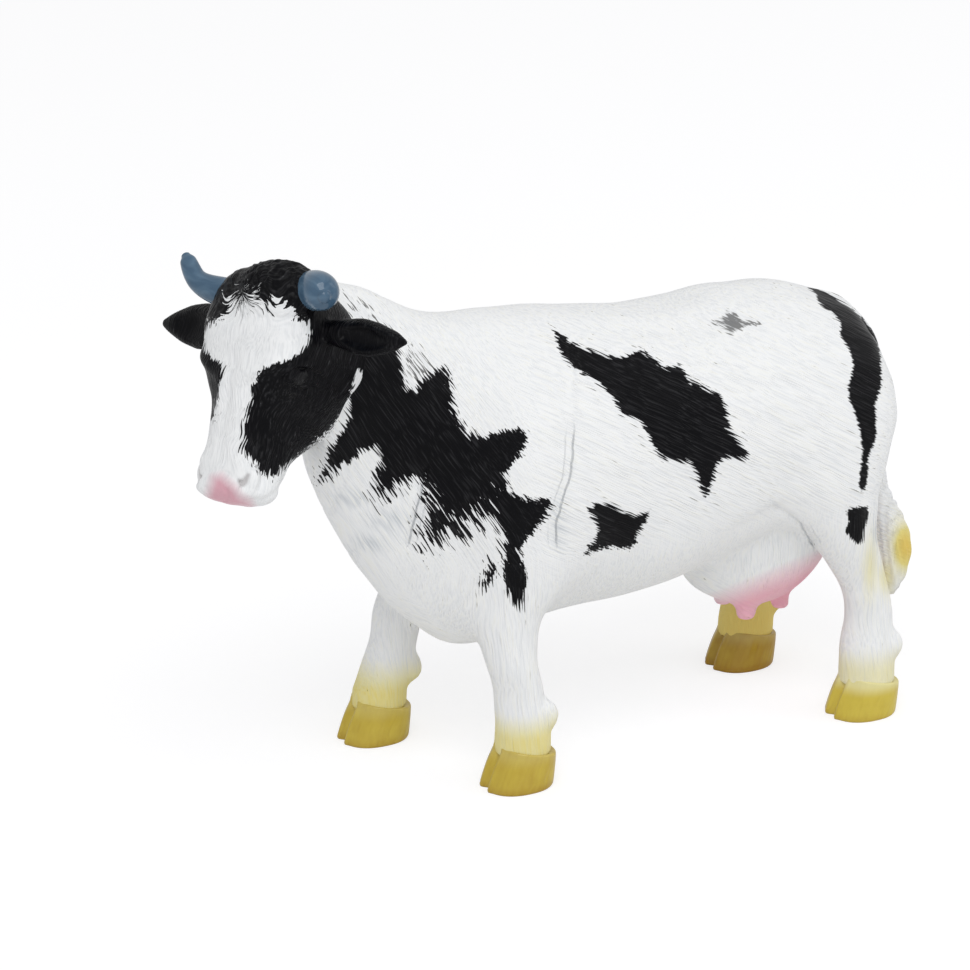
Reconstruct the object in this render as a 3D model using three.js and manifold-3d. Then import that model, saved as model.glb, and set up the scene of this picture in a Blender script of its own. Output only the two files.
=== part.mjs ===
// A toy cow figure, moulded in soft vinyl as separate pieces that plug into each other:
// a hollow trunk with the neck, a head, two horns, two ears, four legs, four hooves, an udder and a tail.
// Millimetres, +Z up. The cow faces -X and its left side is -Y. The origin is on the ground, under the
// middle of the figure.
import * as THREE from "three";
import { mergeVertices } from "three/addons/utils/BufferGeometryUtils.js";
import Module from "manifold-3d";

const wasm = await Module();
wasm.setup();

// Sizes that more than one piece follows
const SEAT_GAP = 0.3;
const WALL = 2.6;
const OVERRUN = 3;
const LEFT = -1;
const RIGHT = 1;

// Facets are counted along a piece and then around it.

// Trunk with the neck, measured forward from the buttocks and up from the ground
const TRUNK_LENGTH = 150;
const BACK_HEIGHT = 105;
const TRUNK_HALF_WIDTH = 30;
const TRUNK_WAIST_SHARE = 0.48;
const TRUNK_FACETS = [28, 22];
const HOLLOW_FACETS = [15, 14];
// place and height of the top line, place and height of the belly line, half width, turn to the left
const TRUNK_SHARES = [
  [0.0, 0.8, 0.0, 0.63, 0.27, 0],
  [0.02, 0.875, 0.02, 0.57, 0.53, 0],
  [0.073, 0.935, 0.073, 0.505, 0.75, 0],
  [0.16, 0.98, 0.16, 0.45, 0.88, 0],
  [0.247, 0.985, 0.247, 0.4, 0.95, 0],
  [0.333, 0.975, 0.333, 0.365, 0.99, 0],
  [0.433, 0.98, 0.433, 0.335, 1.0, 0],
  [0.54, 1.0, 0.545, 0.325, 0.95, 0],
  [0.6, 1.01, 0.61, 0.315, 0.91, 0],
  [0.65, 1.015, 0.67, 0.28, 0.86, 0],
  [0.707, 1.02, 0.75, 0.29, 0.76, 0],
  [0.767, 1.035, 0.835, 0.4, 0.65, 0],
  [0.82, 1.075, 0.895, 0.53, 0.53, 0.01],
  [0.873, 1.115, 0.94, 0.665, 0.42, 0.02],
  [0.927, 1.13, 0.965, 0.8, 0.34, 0.05],
  [0.95, 1.08, 0.98, 0.88, 0.27, 0.08],
];

// Legs: each one stands on its own hoof and leans to a shoulder or a hip in the trunk's side
const FRONT_LEG_DEPTH = 32;
const FRONT_LEG_WIDTH = 22.4;
const HIND_LEG_DEPTH = 36;
const HIND_LEG_WIDTH = 22;
const SHOULDER_PLACE_SHARE = 0.665;
const HIP_PLACE_SHARE = 0.1;
const FRONT_LEG_TOP_SHARE = 0.867;
const HIND_LEG_TOP_SHARE = 0.886;
const FRONT_ROOT_SPREAD_SHARE = 0.47;
const HIND_ROOT_SPREAD_SHARE = 0.4;
const STRAIGHT_SHARE = 0.56;
const FRONT_LEFT_STEP = 1;
const FRONT_RIGHT_STEP = 19;
const HIND_LEFT_STEP = -5.5;
const HIND_RIGHT_STEP = 5;
const LEG_FACETS = [17, 14];
// height, sway to the rear, depth, width, pull of the leg's middle to its root
const FRONT_LEG_SHARES = [
  [0.0, 0.0, 0.37, 0.55, 0],
  [0.07, -0.01, 0.37, 0.54, 0],
  [0.16, -0.04, 0.35, 0.52, 0],
  [0.26, -0.09, 0.38, 0.56, 0.08],
  [0.38, -0.08, 0.43, 0.62, 0.17],
  [0.5, 0.06, 0.65, 0.82, 0.25],
  [0.63, 0.12, 0.93, 0.98, 0.33],
  [0.78, 0.15, 1.0, 1.0, 0.5],
  [0.935, 0.18, 0.67, 0.76, 0.83],
  [1.0, 0.18, 0.24, 0.36, 1],
];
const HIND_LEG_SHARES = [
  [0.0, 0.0, 0.34, 0.56, 0],
  [0.07, 0.01, 0.34, 0.55, 0],
  [0.16, 0.05, 0.31, 0.5, 0],
  [0.25, 0.04, 0.31, 0.5, 0],
  [0.33, -0.02, 0.35, 0.56, 0],
  [0.42, -0.09, 0.45, 0.68, 0],
  [0.52, -0.16, 0.66, 0.84, 0.06],
  [0.64, -0.2, 0.9, 1.0, 0.19],
  [0.79, -0.17, 1.0, 0.95, 0.44],
  [0.94, -0.14, 0.63, 0.68, 0.81],
  [1.0, -0.13, 0.21, 0.27, 1],
];
const DEWCLAW_RADIUS = 2;
const DEWCLAW_HEIGHT_SHARE = 0.075;
const DEWCLAW_SPREAD_SHARE = 0.2;
const DEWCLAW_SUNK_SHARE = 0.4;
const DEWCLAW_FACETS = [6, 8];

// Hooves: cloven, with a flat sole and a socket for the peg under each leg
const HOOF_HEIGHT = 10.2;
const HOOF_LENGTH = 16.6;
const HOOF_WIDTH = 15.4;
const HOOF_SPREAD = 20;
const PEG_RADIUS = 4;
const PEG_LENGTH = 4.5;
const CLEFT_WIDTH = 1.6;
const CLEFT_DEPTH = 4;
const SOLE_CLEFT_HEIGHT = 2;
const HOOF_FACETS = [4, 20];
const PEG_SIDES = 16;
// height, shift to the rear, length, width
const HOOF_SHARES = [
  [0.0, -0.1, 1.0, 1.0],
  [0.5, -0.03, 0.91, 0.97],
  [0.85, 0.03, 0.82, 0.93],
  [1.0, 0.04, 0.78, 0.91],
];

// Head, in its own frame: the poll is at its origin, the muzzle towards -X and the forehead towards +Z
const HEAD_LENGTH = 52;
const HEAD_HALF_WIDTH = 16;
const HEAD_DEPTH = 25;
const HEAD_FORWARD = 5.6;
const HEAD_SIDEWAYS = 1.4;
const HEAD_RISE = 15;
const HEAD_TURN_DEGREES = 38.5;
const HEAD_NOD_DEGREES = -62.3;
const HEAD_TILT_DEGREES = -19;
const POLL_SHARE = 0.12;
// how square the head is across: 1 is an oval
const HEAD_CORNER_POWER = 0.75;
const HEAD_FACETS = [20, 20];
const NORMAL_STEP_DEGREES = 8;
const NORMAL_STEP_SHARE = 0.02;
// place from the top of the head to the muzzle, half width, reach to the forehead, reach to the jaw
const HEAD_SHARES = [
  [0.0, 0.32, 0.16, 0.18],
  [0.04, 0.6, 0.27, 0.4],
  [0.12, 0.84, 0.34, 0.68],
  [0.25, 0.95, 0.35, 1.17],
  [0.38, 0.91, 0.33, 1.4],
  [0.5, 0.73, 0.3, 1.27],
  [0.6, 0.61, 0.27, 0.97],
  [0.7, 0.55, 0.25, 0.65],
  [0.79, 0.54, 0.24, 0.45],
  [0.88, 0.55, 0.24, 0.36],
  [0.95, 0.52, 0.22, 0.3],
  [0.985, 0.42, 0.17, 0.23],
  [1.0, 0.26, 0.1, 0.14],
];
const TUFT_LENGTH = 13;
const TUFT_WIDTH = 23;
const TUFT_DEPTH = 13;
const TUFT_LUMP_SHARE = 0.07;
const TUFT_LUMP_COUNT = 5;
const TUFT_RISE_SHARE = 0.5;
const TUFT_SIDE_SHARE = 0.15;
const TUFT_FACETS = [10, 18];
const EYE_RADIUS = 2.6;
const EYE_PLACE_SHARE = 0.43;
const EYE_ANGLE_DEGREES = 8;
const EYE_SUNK_SHARE = 0.8;
const LID_THICKNESS = 1.2;
const LID_SUNK_SHARE = 0.35;
const EYE_FACETS = [8, 12];
const LID_FACETS = [14, 5];
const NOSTRIL_WIDTH = 3.4;
const NOSTRIL_HEIGHT = 2.2;
const NOSTRIL_PLACE_SHARE = 0.945;
const NOSTRIL_ANGLE_DEGREES = 48;
const NOSTRIL_FACETS = [6, 10];
const MOUTH_GROOVE = 0.8;
const MOUTH_FRONT_SHARE = 0.975;
const MOUTH_CORNER_SHARE = 0.74;
const MOUTH_ANGLE_DEGREES = 66;
const MOUTH_HALF_POINTS = 6;
const MOUTH_FACETS = [18, 5];

// Horns: blunt, rooted in the sides of the poll. The right one curves out and up, the left one forward.
const HORN_LENGTH = 18;
const HORN_RADIUS = 4.2;
const HORN_ROOT_SHARE = 0.5;
const HORN_FACETS = [10, 12];
const RIGHT_HORN_ROUTE_SHARES = [
  [0.0, 0.0, 0.0],
  [0.0, 0.33, 0.11],
  [0.1, 0.67, 0.24],
  [0.38, 0.88, 0.33],
];
const LEFT_HORN_ROUTE_SHARES = [
  [0.0, 0.0, 0.0],
  [0.1, 0.3, 0.1],
  [0.12, 0.55, 0.25],
  [0.06, 0.74, 0.4],
];
const RIGHT_HORN_SIZE_SHARES = [
  [0.0, 0.95, 0.95],
  [0.4, 0.76, 0.76],
  [0.7, 0.56, 0.56],
  [0.94, 0.43, 0.43],
  [1.0, 0.25, 0.25],
];
const LEFT_HORN_SIZE_SHARES = [
  [0.0, 0.9, 0.9],
  [0.4, 1.0, 1.0],
  [0.75, 1.0, 1.0],
  [0.93, 0.78, 0.78],
  [1.0, 0.38, 0.38],
];

// Ears: cupped leaves that stand out level behind the horns
const EAR_LENGTH = 26;
const EAR_WIDTH = 11;
const EAR_THICKNESS = 5;
const EAR_ROOT_DOWN_SHARE = 0.14;
const EAR_ROOT_SPREAD_SHARE = 0.81;
const EAR_ROOT_BACK_SHARE = 0.15;
const EAR_WALL_SHARE = 0.36;
const EAR_FACETS = [10, 12];
const EAR_ROUTE_SHARES = [
  [0.0, 0.0, 0.0],
  [0.02, 0.3, -0.02],
  [0.03, 0.64, -0.03],
  [0.03, 0.96, 0.0],
];
const EAR_SIZE_SHARES = [
  [0.0, 0.9, 0.5],
  [0.2, 0.95, 0.75],
  [0.5, 0.95, 1.0],
  [0.78, 0.7, 0.7],
  [1.0, 0.2, 0.14],
];
const EAR_CUP_START_SHARE = 0.3;
const EAR_CUP_END_SHARE = 0.93;
const EAR_CUP_TIP_SHARE = 0.06;
const EAR_CUP_FACETS = [8, 10];

// Udder: a bag with four teats under the belly, just before the hind legs
const UDDER_LENGTH = 42;
const UDDER_WIDTH = 34;
const UDDER_DEPTH = 40;
const UDDER_PLACE_SHARE = 0.2;
const UDDER_FACETS = [12, 20];
const TEAT_LENGTH = 6;
const TEAT_SUNK_SHARE = 0.65;
const TEAT_RADIUS = 2.1;
const TEAT_SIDES = 10;
// the teats' places from the middle of the bag, along it and across it
const TEAT_PLACE_SHARES = [
  [-0.09, -0.16],
  [-0.09, 0.16],
  [0.17, -0.09],
  [0.17, 0.09],
];
// radius and height of a teat from its tip
const TEAT_SHARES = [
  [0.0, -1.0],
  [0.5, -0.96],
  [0.85, -0.8],
  [0.95, -0.5],
  [1.0, 0.0],
  [0.0, 0.0],
];

// Tail: rooted in the rump, hanging between the buttocks and ending in a brush beside the left leg
const TAIL_LENGTH = 84;
const TAIL_RADIUS = 3.2;
const TAIL_ROOT_SHARE = 0.125;
const TAIL_ROOT_DEPTH = 5;
const TAIL_FACETS = [22, 10];
const TAIL_ROUTE_SHARES = [
  [0.0, 0.0, 0.0],
  [0.13, 0.0, -0.03],
  [0.23, 0.0, -0.15],
  [0.25, -0.01, -0.29],
  [0.245, -0.02, -0.42],
  [0.25, -0.05, -0.59],
  [0.285, -0.08, -0.73],
  [0.262, -0.107, -0.87],
];
const TAIL_SIZE_SHARES = [
  [0.0, 1.0, 1.0],
  [0.2, 0.94, 0.94],
  [0.5, 0.78, 0.78],
  [0.65, 0.84, 0.8],
  [0.83, 1.4, 1.35],
  [0.94, 1.1, 1.05],
  [1.0, 0.3, 0.3],
];

const figure = new THREE.Group();
const headGroup = new THREE.Group();
figure.add(headGroup);

const finish = (color, roughness, metalness = 0) =>
  new THREE.MeshStandardMaterial({ color, roughness, metalness });
const white = finish(0xf2f3f4, 0.5);
const black = finish(0x141414, 0.45);
const slate = finish(0x6d8aa5, 0.25);
const gold = finish(0xc2a227, 0.35, 0.2);
const pink = finish(0xeab9c6, 0.5);

const { degToRad, lerp, clamp } = THREE.MathUtils;
const at = (x, y, z) => new THREE.Vector3(x, y, z);

// Reads one row of a table at a place along it, on a smooth curve through the rows.
function rowAt(table, place) {
  const last = table.length - 1;
  let i = 0;
  while (i < last - 1 && table[i + 1][0] <= place) i++;
  const [a, b] = [table[i], table[i + 1]];
  const [before, after] = [table[Math.max(i - 1, 0)], table[Math.min(i + 2, last)]];
  const step = b[0] - a[0];
  const t = clamp((place - a[0]) / step, 0, 1);
  return a.map((value, column) => {
    const slopeA = ((b[column] - before[column]) / (b[0] - before[0])) * step;
    const slopeB = ((after[column] - value) / (after[0] - a[0])) * step;
    const rise = b[column] - value;
    return value + t * (slopeA + t * (3 * rise - 2 * slopeA - slopeB + t * (slopeA + slopeB - 2 * rise)));
  });
}

// Shares of a way that lie closer together near both of its ends
const easeEnds = (share) => (1 - Math.cos(Math.PI * share)) / 2;

// One point of a ring's outline, swollen by grow. A ring with a power under 1 has fuller corners.
function ringPoint(ring, angle, grow) {
  const power = ring.power ?? 1;
  const across = Math.sign(Math.cos(angle)) * Math.abs(Math.cos(angle)) ** power;
  const upward = Math.sign(Math.sin(angle)) * Math.abs(Math.sin(angle)) ** power;
  const reach = (upward > 0 ? ring.up : ring.down) + grow;
  return ring.middle
    .clone()
    .addScaledVector(ring.side, (ring.wide + grow) * across)
    .addScaledVector(ring.rise, reach * upward);
}

// A closed skin over rings. ringAt gives a ring's middle, the directions of its travel, its side and its
// rise, and its reach to the side, up and down. grow swells the skin all round and past both ends.
function skin(ringAt, [alongCount, aroundCount], grow = 0) {
  const points = [];
  const ends = [];
  for (let i = 0; i <= alongCount; i++) {
    const share = i / alongCount;
    const ring = ringAt(share);
    ring.middle.addScaledVector(ring.travel, grow * (2 * share - 1));
    const outline = [];
    for (let j = 0; j < aroundCount; j++) {
      outline.push(ringPoint(ring, (2 * Math.PI * j) / aroundCount, grow));
    }
    points.push(...outline);
    const sum = outline.reduce((total, point) => total.add(point), at(0, 0, 0));
    if (i === 0 || i === alongCount) ends.push(sum.divideScalar(aroundCount));
  }
  const start = points.length;
  points.push(...ends);
  const index = [];
  for (let j = 0; j < aroundCount; j++) {
    const next = (j + 1) % aroundCount;
    for (let i = 0; i < alongCount; i++) {
      const [a, b] = [i * aroundCount + j, i * aroundCount + next];
      const [c, d] = [a + aroundCount, b + aroundCount];
      index.push(a, b, c, b, d, c);
    }
    index.push(start, next, j);
    index.push(start + 1, alongCount * aroundCount + j, alongCount * aroundCount + next);
  }
  const ring = ringAt(0);
  const turnsRight = ring.side.clone().cross(ring.rise).dot(ring.travel) > 0;
  const geometry = new THREE.BufferGeometry().setFromPoints(points);
  geometry.setIndex(turnsRight ? index : index.toReversed());
  return toSolid(geometry);
}

// A geometry as a solid for cutting and joining, and a solid back as a geometry
function toSolid(geometry) {
  const bare = geometry.clone();
  bare.deleteAttribute("normal");
  bare.deleteAttribute("uv");
  const merged = mergeVertices(bare);
  return new wasm.Manifold(
    new wasm.Mesh({
      numProp: 3,
      vertProperties: Float32Array.from(merged.attributes.position.array),
      triVerts: Uint32Array.from(merged.index.array),
    }),
  );
}

function toGeometry(solid) {
  const mesh = solid.getMesh();
  const geometry = new THREE.BufferGeometry();
  geometry.setAttribute("position", new THREE.BufferAttribute(mesh.vertProperties, 3));
  geometry.setIndex(new THREE.BufferAttribute(mesh.triVerts, 1));
  return geometry;
}

const cut = (solid, cutters) => cutters.reduce((rest, cutter) => rest.subtract(cutter), solid);
const join = (solid, others) => others.reduce((sum, other) => sum.add(other), solid);

function add(name, solid, material, parent = figure) {
  const mesh = new THREE.Mesh(toGeometry(solid), material);
  mesh.name = name;
  parent.add(mesh);
}

// A rounded lump: an egg with three half sizes
function egg(middle, halfSizes, [tallCount, aroundCount]) {
  const sphere = new THREE.SphereGeometry(1, aroundCount, tallCount).rotateX(Math.PI / 2);
  return sphere.scale(...halfSizes).translate(middle.x, middle.y, middle.z);
}

const ball = (middle, radius, facets) => egg(middle, [radius, radius, radius], facets);

// Rings along a smooth curve. sizes holds rows of share, half width and half height.
function tubeRings(points, sizeShares, halfWide, halfTall, hint) {
  const curve = new THREE.CatmullRomCurve3(points);
  return (share) => {
    const [, wide, tall] = rowAt(sizeShares, share);
    const travel = curve.getTangentAt(share);
    const side = hint.clone().cross(travel).normalize();
    const rise = travel.clone().cross(side).normalize();
    return {
      middle: curve.getPointAt(share),
      travel,
      side,
      rise,
      wide: wide * halfWide,
      up: tall * halfTall,
      down: tall * halfTall,
    };
  };
}

// Trunk: a ring is drawn between its place on the top line and its place on the belly line.
function trunkRing(share) {
  const lastPlace = TRUNK_SHARES.at(-1)[0];
  const row = rowAt(TRUNK_SHARES, lastPlace * easeEnds(share));
  const [topPlace, topHeight, bellyPlace, bellyHeight, wide, turn] = row;
  const sideways = LEFT * turn * TRUNK_HALF_WIDTH;
  const top = at(-topPlace * TRUNK_LENGTH, sideways, topHeight * BACK_HEIGHT);
  const belly = at(-bellyPlace * TRUNK_LENGTH, sideways, bellyHeight * BACK_HEIGHT);
  const rise = top.clone().sub(belly);
  const tall = rise.length();
  rise.normalize();
  const side = at(0, 1, 0);
  return {
    middle: belly.clone().lerp(top, TRUNK_WAIST_SHARE),
    travel: rise.clone().cross(side),
    side,
    rise,
    wide: wide * TRUNK_HALF_WIDTH,
    up: (1 - TRUNK_WAIST_SHARE) * tall,
    down: TRUNK_WAIST_SHARE * tall,
  };
}

const trunkSkin = (grow) => skin(trunkRing, TRUNK_FACETS, grow);
// The trunk's hollow follows its outside with fewer rings.
const trunkHollow = () => skin(trunkRing, HOLLOW_FACETS, -WALL);

// Which leg is which
const LEGS = [
  { name: "front_left", front: true, side: LEFT, step: FRONT_LEFT_STEP },
  { name: "front_right", front: true, side: RIGHT, step: FRONT_RIGHT_STEP },
  { name: "hind_left", front: false, side: LEFT, step: HIND_LEFT_STEP },
  { name: "hind_right", front: false, side: RIGHT, step: HIND_RIGHT_STEP },
];

// Where a leg's root lies along the trunk, and where its hoof stands
const rootX = (leg) => -(leg.front ? SHOULDER_PLACE_SHARE : HIP_PLACE_SHARE) * TRUNK_LENGTH;
const hoofX = (leg) => rootX(leg) - leg.step;
const hoofY = (leg) => leg.side * HOOF_SPREAD;

function legRing(leg, share) {
  const table = leg.front ? FRONT_LEG_SHARES : HIND_LEG_SHARES;
  const depth = leg.front ? FRONT_LEG_DEPTH : HIND_LEG_DEPTH;
  const width = leg.front ? FRONT_LEG_WIDTH : HIND_LEG_WIDTH;
  const rootSpread = (leg.front ? FRONT_ROOT_SPREAD_SHARE : HIND_ROOT_SPREAD_SHARE) * TRUNK_HALF_WIDTH;
  const legTop = (leg.front ? FRONT_LEG_TOP_SHARE : HIND_LEG_TOP_SHARE) * BACK_HEIGHT;
  const [, sway, deep, wide, pull] = rowAt(table, share);
  const lean = Math.min(1, share / STRAIGHT_SHARE);
  const x = lerp(hoofX(leg), rootX(leg), lean) + sway * depth;
  const y = leg.side * lerp(HOOF_SPREAD, rootSpread, pull);
  const halfWidth = (wide * width) / 2;
  return {
    middle: at(x, y, lerp(HOOF_HEIGHT + SEAT_GAP, legTop, share)),
    travel: at(0, 0, 1),
    side: at(1, 0, 0),
    rise: at(0, 1, 0),
    wide: (deep * depth) / 2,
    up: halfWidth,
    down: halfWidth,
  };
}

const legSkin = (leg, grow) => skin((share) => legRing(leg, share), LEG_FACETS, grow);

// An upright round peg between two heights
function peg(x, y, low, high, radius) {
  const cylinder = new THREE.CylinderGeometry(radius, radius, high - low, PEG_SIDES).rotateX(Math.PI / 2);
  return toSolid(cylinder.translate(x, y, (low + high) / 2));
}

// The two small claws behind a leg, above the hoof
function dewclaws(leg) {
  const ring = legRing(leg, DEWCLAW_HEIGHT_SHARE);
  const back = ring.wide - DEWCLAW_SUNK_SHARE * DEWCLAW_RADIUS;
  return [LEFT, RIGHT].map((side) => {
    const middle = ring.middle.clone().add(at(back, side * DEWCLAW_SPREAD_SHARE * HOOF_WIDTH, 0));
    return toSolid(ball(middle, DEWCLAW_RADIUS, DEWCLAW_FACETS));
  });
}

function legPiece(leg) {
  const bottom = HOOF_HEIGHT - PEG_LENGTH;
  const hoofPeg = peg(hoofX(leg), hoofY(leg), bottom, HOOF_HEIGHT + OVERRUN, PEG_RADIUS);
  return join(legSkin(leg, 0), [...dewclaws(leg), hoofPeg]);
}

// A ring of a hoof, level, at a share of its height
function hoofRing(leg, share) {
  const [, shift, long, wide] = rowAt(HOOF_SHARES, share);
  const halfWidth = (wide * HOOF_WIDTH) / 2;
  return {
    middle: at(hoofX(leg) + shift * HOOF_LENGTH, hoofY(leg), share * HOOF_HEIGHT),
    travel: at(0, 0, 1),
    side: at(1, 0, 0),
    rise: at(0, 1, 0),
    wide: (long * HOOF_LENGTH) / 2,
    up: halfWidth,
    down: halfWidth,
  };
}

// A wedge prism: its flat back stands at x = 0 and its edge at x = depth
function wedge(width, depth, length) {
  const outline = new THREE.Shape([
    new THREE.Vector2(0, -width / 2),
    new THREE.Vector2(depth, 0),
    new THREE.Vector2(0, width / 2),
  ]);
  return new THREE.ExtrudeGeometry(outline, { depth: length, bevelEnabled: false });
}

// The cleft between the two toes: a wedge up the front of the hoof and a lower one along its sole
function clefts(leg) {
  const sole = hoofRing(leg, 0);
  const toe = sole.middle.x - sole.wide;
  const front = wedge(CLEFT_WIDTH, CLEFT_DEPTH + OVERRUN, HOOF_HEIGHT + 2 * OVERRUN);
  front.translate(toe - OVERRUN, hoofY(leg), -OVERRUN);
  const under = wedge(CLEFT_WIDTH, SOLE_CLEFT_HEIGHT + OVERRUN, HOOF_LENGTH + 2 * OVERRUN);
  under.rotateY(-Math.PI / 2).translate(toe + HOOF_LENGTH + OVERRUN, hoofY(leg), -OVERRUN);
  return [toSolid(front), toSolid(under)];
}

function hoofPiece(leg) {
  const bottom = HOOF_HEIGHT - PEG_LENGTH - SEAT_GAP;
  const socket = peg(hoofX(leg), hoofY(leg), bottom, HOOF_HEIGHT + OVERRUN, PEG_RADIUS + SEAT_GAP);
  return cut(skin((share) => hoofRing(leg, share), HOOF_FACETS), [socket, ...clefts(leg)]);
}

// The udder's bag hangs with its middle on the belly line.
function udderBag(grow) {
  const [, , , bellyHeight] = rowAt(TRUNK_SHARES, UDDER_PLACE_SHARE);
  const middle = at(-UDDER_PLACE_SHARE * TRUNK_LENGTH, 0, bellyHeight * BACK_HEIGHT);
  const halfSizes = [UDDER_LENGTH, UDDER_WIDTH, UDDER_DEPTH].map((size) => size / 2 + grow);
  return { middle, solid: toSolid(egg(middle, halfSizes, UDDER_FACETS)) };
}

function teats(middle) {
  const outline = TEAT_SHARES.map(([r, h]) => new THREE.Vector2(r * TEAT_RADIUS, h * TEAT_LENGTH));
  const low = middle.z - UDDER_DEPTH / 2 + TEAT_SUNK_SHARE * TEAT_LENGTH;
  return TEAT_PLACE_SHARES.map(([along, across]) => {
    const teat = new THREE.LatheGeometry(outline, TEAT_SIDES).rotateX(Math.PI / 2);
    teat.translate(middle.x + along * UDDER_LENGTH, middle.y + across * UDDER_WIDTH, low);
    return toSolid(teat);
  });
}

// The tail's root sits in the top line of the rump.
function tailSkin(grow) {
  const [, topHeight] = rowAt(TRUNK_SHARES, TAIL_ROOT_SHARE);
  const root = at(-TAIL_ROOT_SHARE * TRUNK_LENGTH, 0, topHeight * BACK_HEIGHT - TAIL_ROOT_DEPTH);
  const route = TAIL_ROUTE_SHARES.map(([x, y, z]) => at(x, y, z).multiplyScalar(TAIL_LENGTH).add(root));
  return skin(tubeRings(route, TAIL_SIZE_SHARES, TAIL_RADIUS, TAIL_RADIUS, at(1, 0, 0)), TAIL_FACETS, grow);
}

// A ring of the head in the head's own frame
function headRing(share) {
  const [along, wide, up, down] = rowAt(HEAD_SHARES, share);
  return {
    middle: at((POLL_SHARE - along) * HEAD_LENGTH, 0, 0),
    travel: at(-1, 0, 0),
    side: at(0, 1, 0),
    rise: at(0, 0, 1),
    wide: wide * HEAD_HALF_WIDTH,
    up: up * HEAD_DEPTH,
    down: down * HEAD_DEPTH,
    power: HEAD_CORNER_POWER,
  };
}

const headRingEased = (share) => headRing(easeEnds(share));

// A point on the head's skin. The angle is 0 at the right side and 90 degrees at the forehead.
const headPoint = (share, degrees, lift = 0) => ringPoint(headRing(share), degToRad(degrees), lift);
const sideAngle = (side, degrees) => (side === RIGHT ? degrees : 180 - degrees);

// The direction straight out of the head's skin at a point
function headNormal(share, degrees) {
  const around = headPoint(share, degrees + NORMAL_STEP_DEGREES).sub(headPoint(share, degrees));
  const along = headPoint(share + NORMAL_STEP_SHARE, degrees).sub(headPoint(share, degrees));
  const outward = around.cross(along).normalize();
  const fromAxis = headPoint(share, degrees).sub(headRing(share).middle);
  return outward.multiplyScalar(Math.sign(outward.dot(fromAxis)));
}

// The curly tuft on the poll: an egg whose surface swells and sinks in even lumps
function tuft() {
  const lumps = ball(at(0, 0, 0), 1, TUFT_FACETS);
  const spots = lumps.attributes.position;
  for (let i = 0; i < spots.count; i++) {
    const spot = new THREE.Vector3().fromBufferAttribute(spots, i);
    const turn = Math.atan2(spot.y, spot.x);
    const slope = Math.acos(clamp(spot.z, -1, 1));
    const wave = Math.sin(TUFT_LUMP_COUNT * turn) * Math.sin(TUFT_LUMP_COUNT * slope) * Math.sin(slope);
    spot.multiplyScalar(1 + TUFT_LUMP_SHARE * wave);
    spots.setXYZ(i, spot.x, spot.y, spot.z);
  }
  lumps.scale(TUFT_LENGTH / 2, TUFT_WIDTH / 2, TUFT_DEPTH / 2);
  const top = headRing(POLL_SHARE);
  const sideways = LEFT * TUFT_SIDE_SHARE * TUFT_WIDTH;
  return toSolid(lumps.translate(top.middle.x, sideways, TUFT_RISE_SHARE * top.up));
}

// An eyeball with a rolled lid round it
function eye(side) {
  const angle = sideAngle(side, EYE_ANGLE_DEGREES);
  const outward = headNormal(EYE_PLACE_SHARE, angle);
  const middle = headPoint(EYE_PLACE_SHARE, angle).addScaledVector(outward, -EYE_SUNK_SHARE * EYE_RADIUS);
  const [lidAlong, lidAround] = LID_FACETS;
  const lid = new THREE.TorusGeometry(EYE_RADIUS, LID_THICKNESS / 2, lidAround, lidAlong);
  lid.applyQuaternion(new THREE.Quaternion().setFromUnitVectors(at(0, 0, 1), outward));
  const rise = EYE_SUNK_SHARE * EYE_RADIUS - LID_SUNK_SHARE * LID_THICKNESS;
  const seat = middle.clone().addScaledVector(outward, rise);
  lid.translate(seat.x, seat.y, seat.z);
  return [toSolid(ball(middle, EYE_RADIUS, EYE_FACETS)), toSolid(lid)];
}

function nostril(side) {
  const middle = headPoint(NOSTRIL_PLACE_SHARE, sideAngle(side, NOSTRIL_ANGLE_DEGREES));
  const halfSizes = [NOSTRIL_WIDTH / 2, NOSTRIL_HEIGHT / 2, NOSTRIL_HEIGHT / 2];
  return toSolid(egg(middle, halfSizes, NOSTRIL_FACETS));
}

// The mouth is a groove that follows the skin from one corner round under the nose to the other.
function mouth() {
  const route = [];
  for (let i = -MOUTH_HALF_POINTS; i <= MOUTH_HALF_POINTS; i++) {
    const way = i / MOUTH_HALF_POINTS;
    const share = lerp(MOUTH_FRONT_SHARE, MOUTH_CORNER_SHARE, way ** 2);
    route.push(headPoint(share, -90 + way * MOUTH_ANGLE_DEGREES));
  }
  const even = [
    [0, 1, 1],
    [1, 1, 1],
  ];
  return skin(tubeRings(route, even, MOUTH_GROOVE, MOUTH_GROOVE, at(1, 0, 0)), MOUTH_FACETS);
}

// A route's points from its shares, with the right side's route mirrored for the left
function sideRoute(shares, side, length, root) {
  return shares.map(([x, y, z]) => at(x, side * y, z).multiplyScalar(length).add(root));
}

function hornSkin(side, grow) {
  const root = at(0, side * HORN_ROOT_SHARE * HEAD_HALF_WIDTH, 0);
  const routeShares = side === LEFT ? LEFT_HORN_ROUTE_SHARES : RIGHT_HORN_ROUTE_SHARES;
  const sizeShares = side === LEFT ? LEFT_HORN_SIZE_SHARES : RIGHT_HORN_SIZE_SHARES;
  const route = sideRoute(routeShares, side, HORN_LENGTH, root);
  return skin(tubeRings(route, sizeShares, HORN_RADIUS, HORN_RADIUS, at(1, 0, 0)), HORN_FACETS, grow);
}

function earRings(side) {
  const down = EAR_ROOT_DOWN_SHARE * HEAD_LENGTH;
  const spread = side * EAR_ROOT_SPREAD_SHARE * HEAD_HALF_WIDTH;
  const back = EAR_ROOT_BACK_SHARE * HEAD_DEPTH;
  const route = sideRoute(EAR_ROUTE_SHARES, side, EAR_LENGTH, at(-down, spread, -back));
  return tubeRings(route, EAR_SIZE_SHARES, EAR_THICKNESS / 2, EAR_WIDTH / 2, at(1, 0, 0));
}

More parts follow.
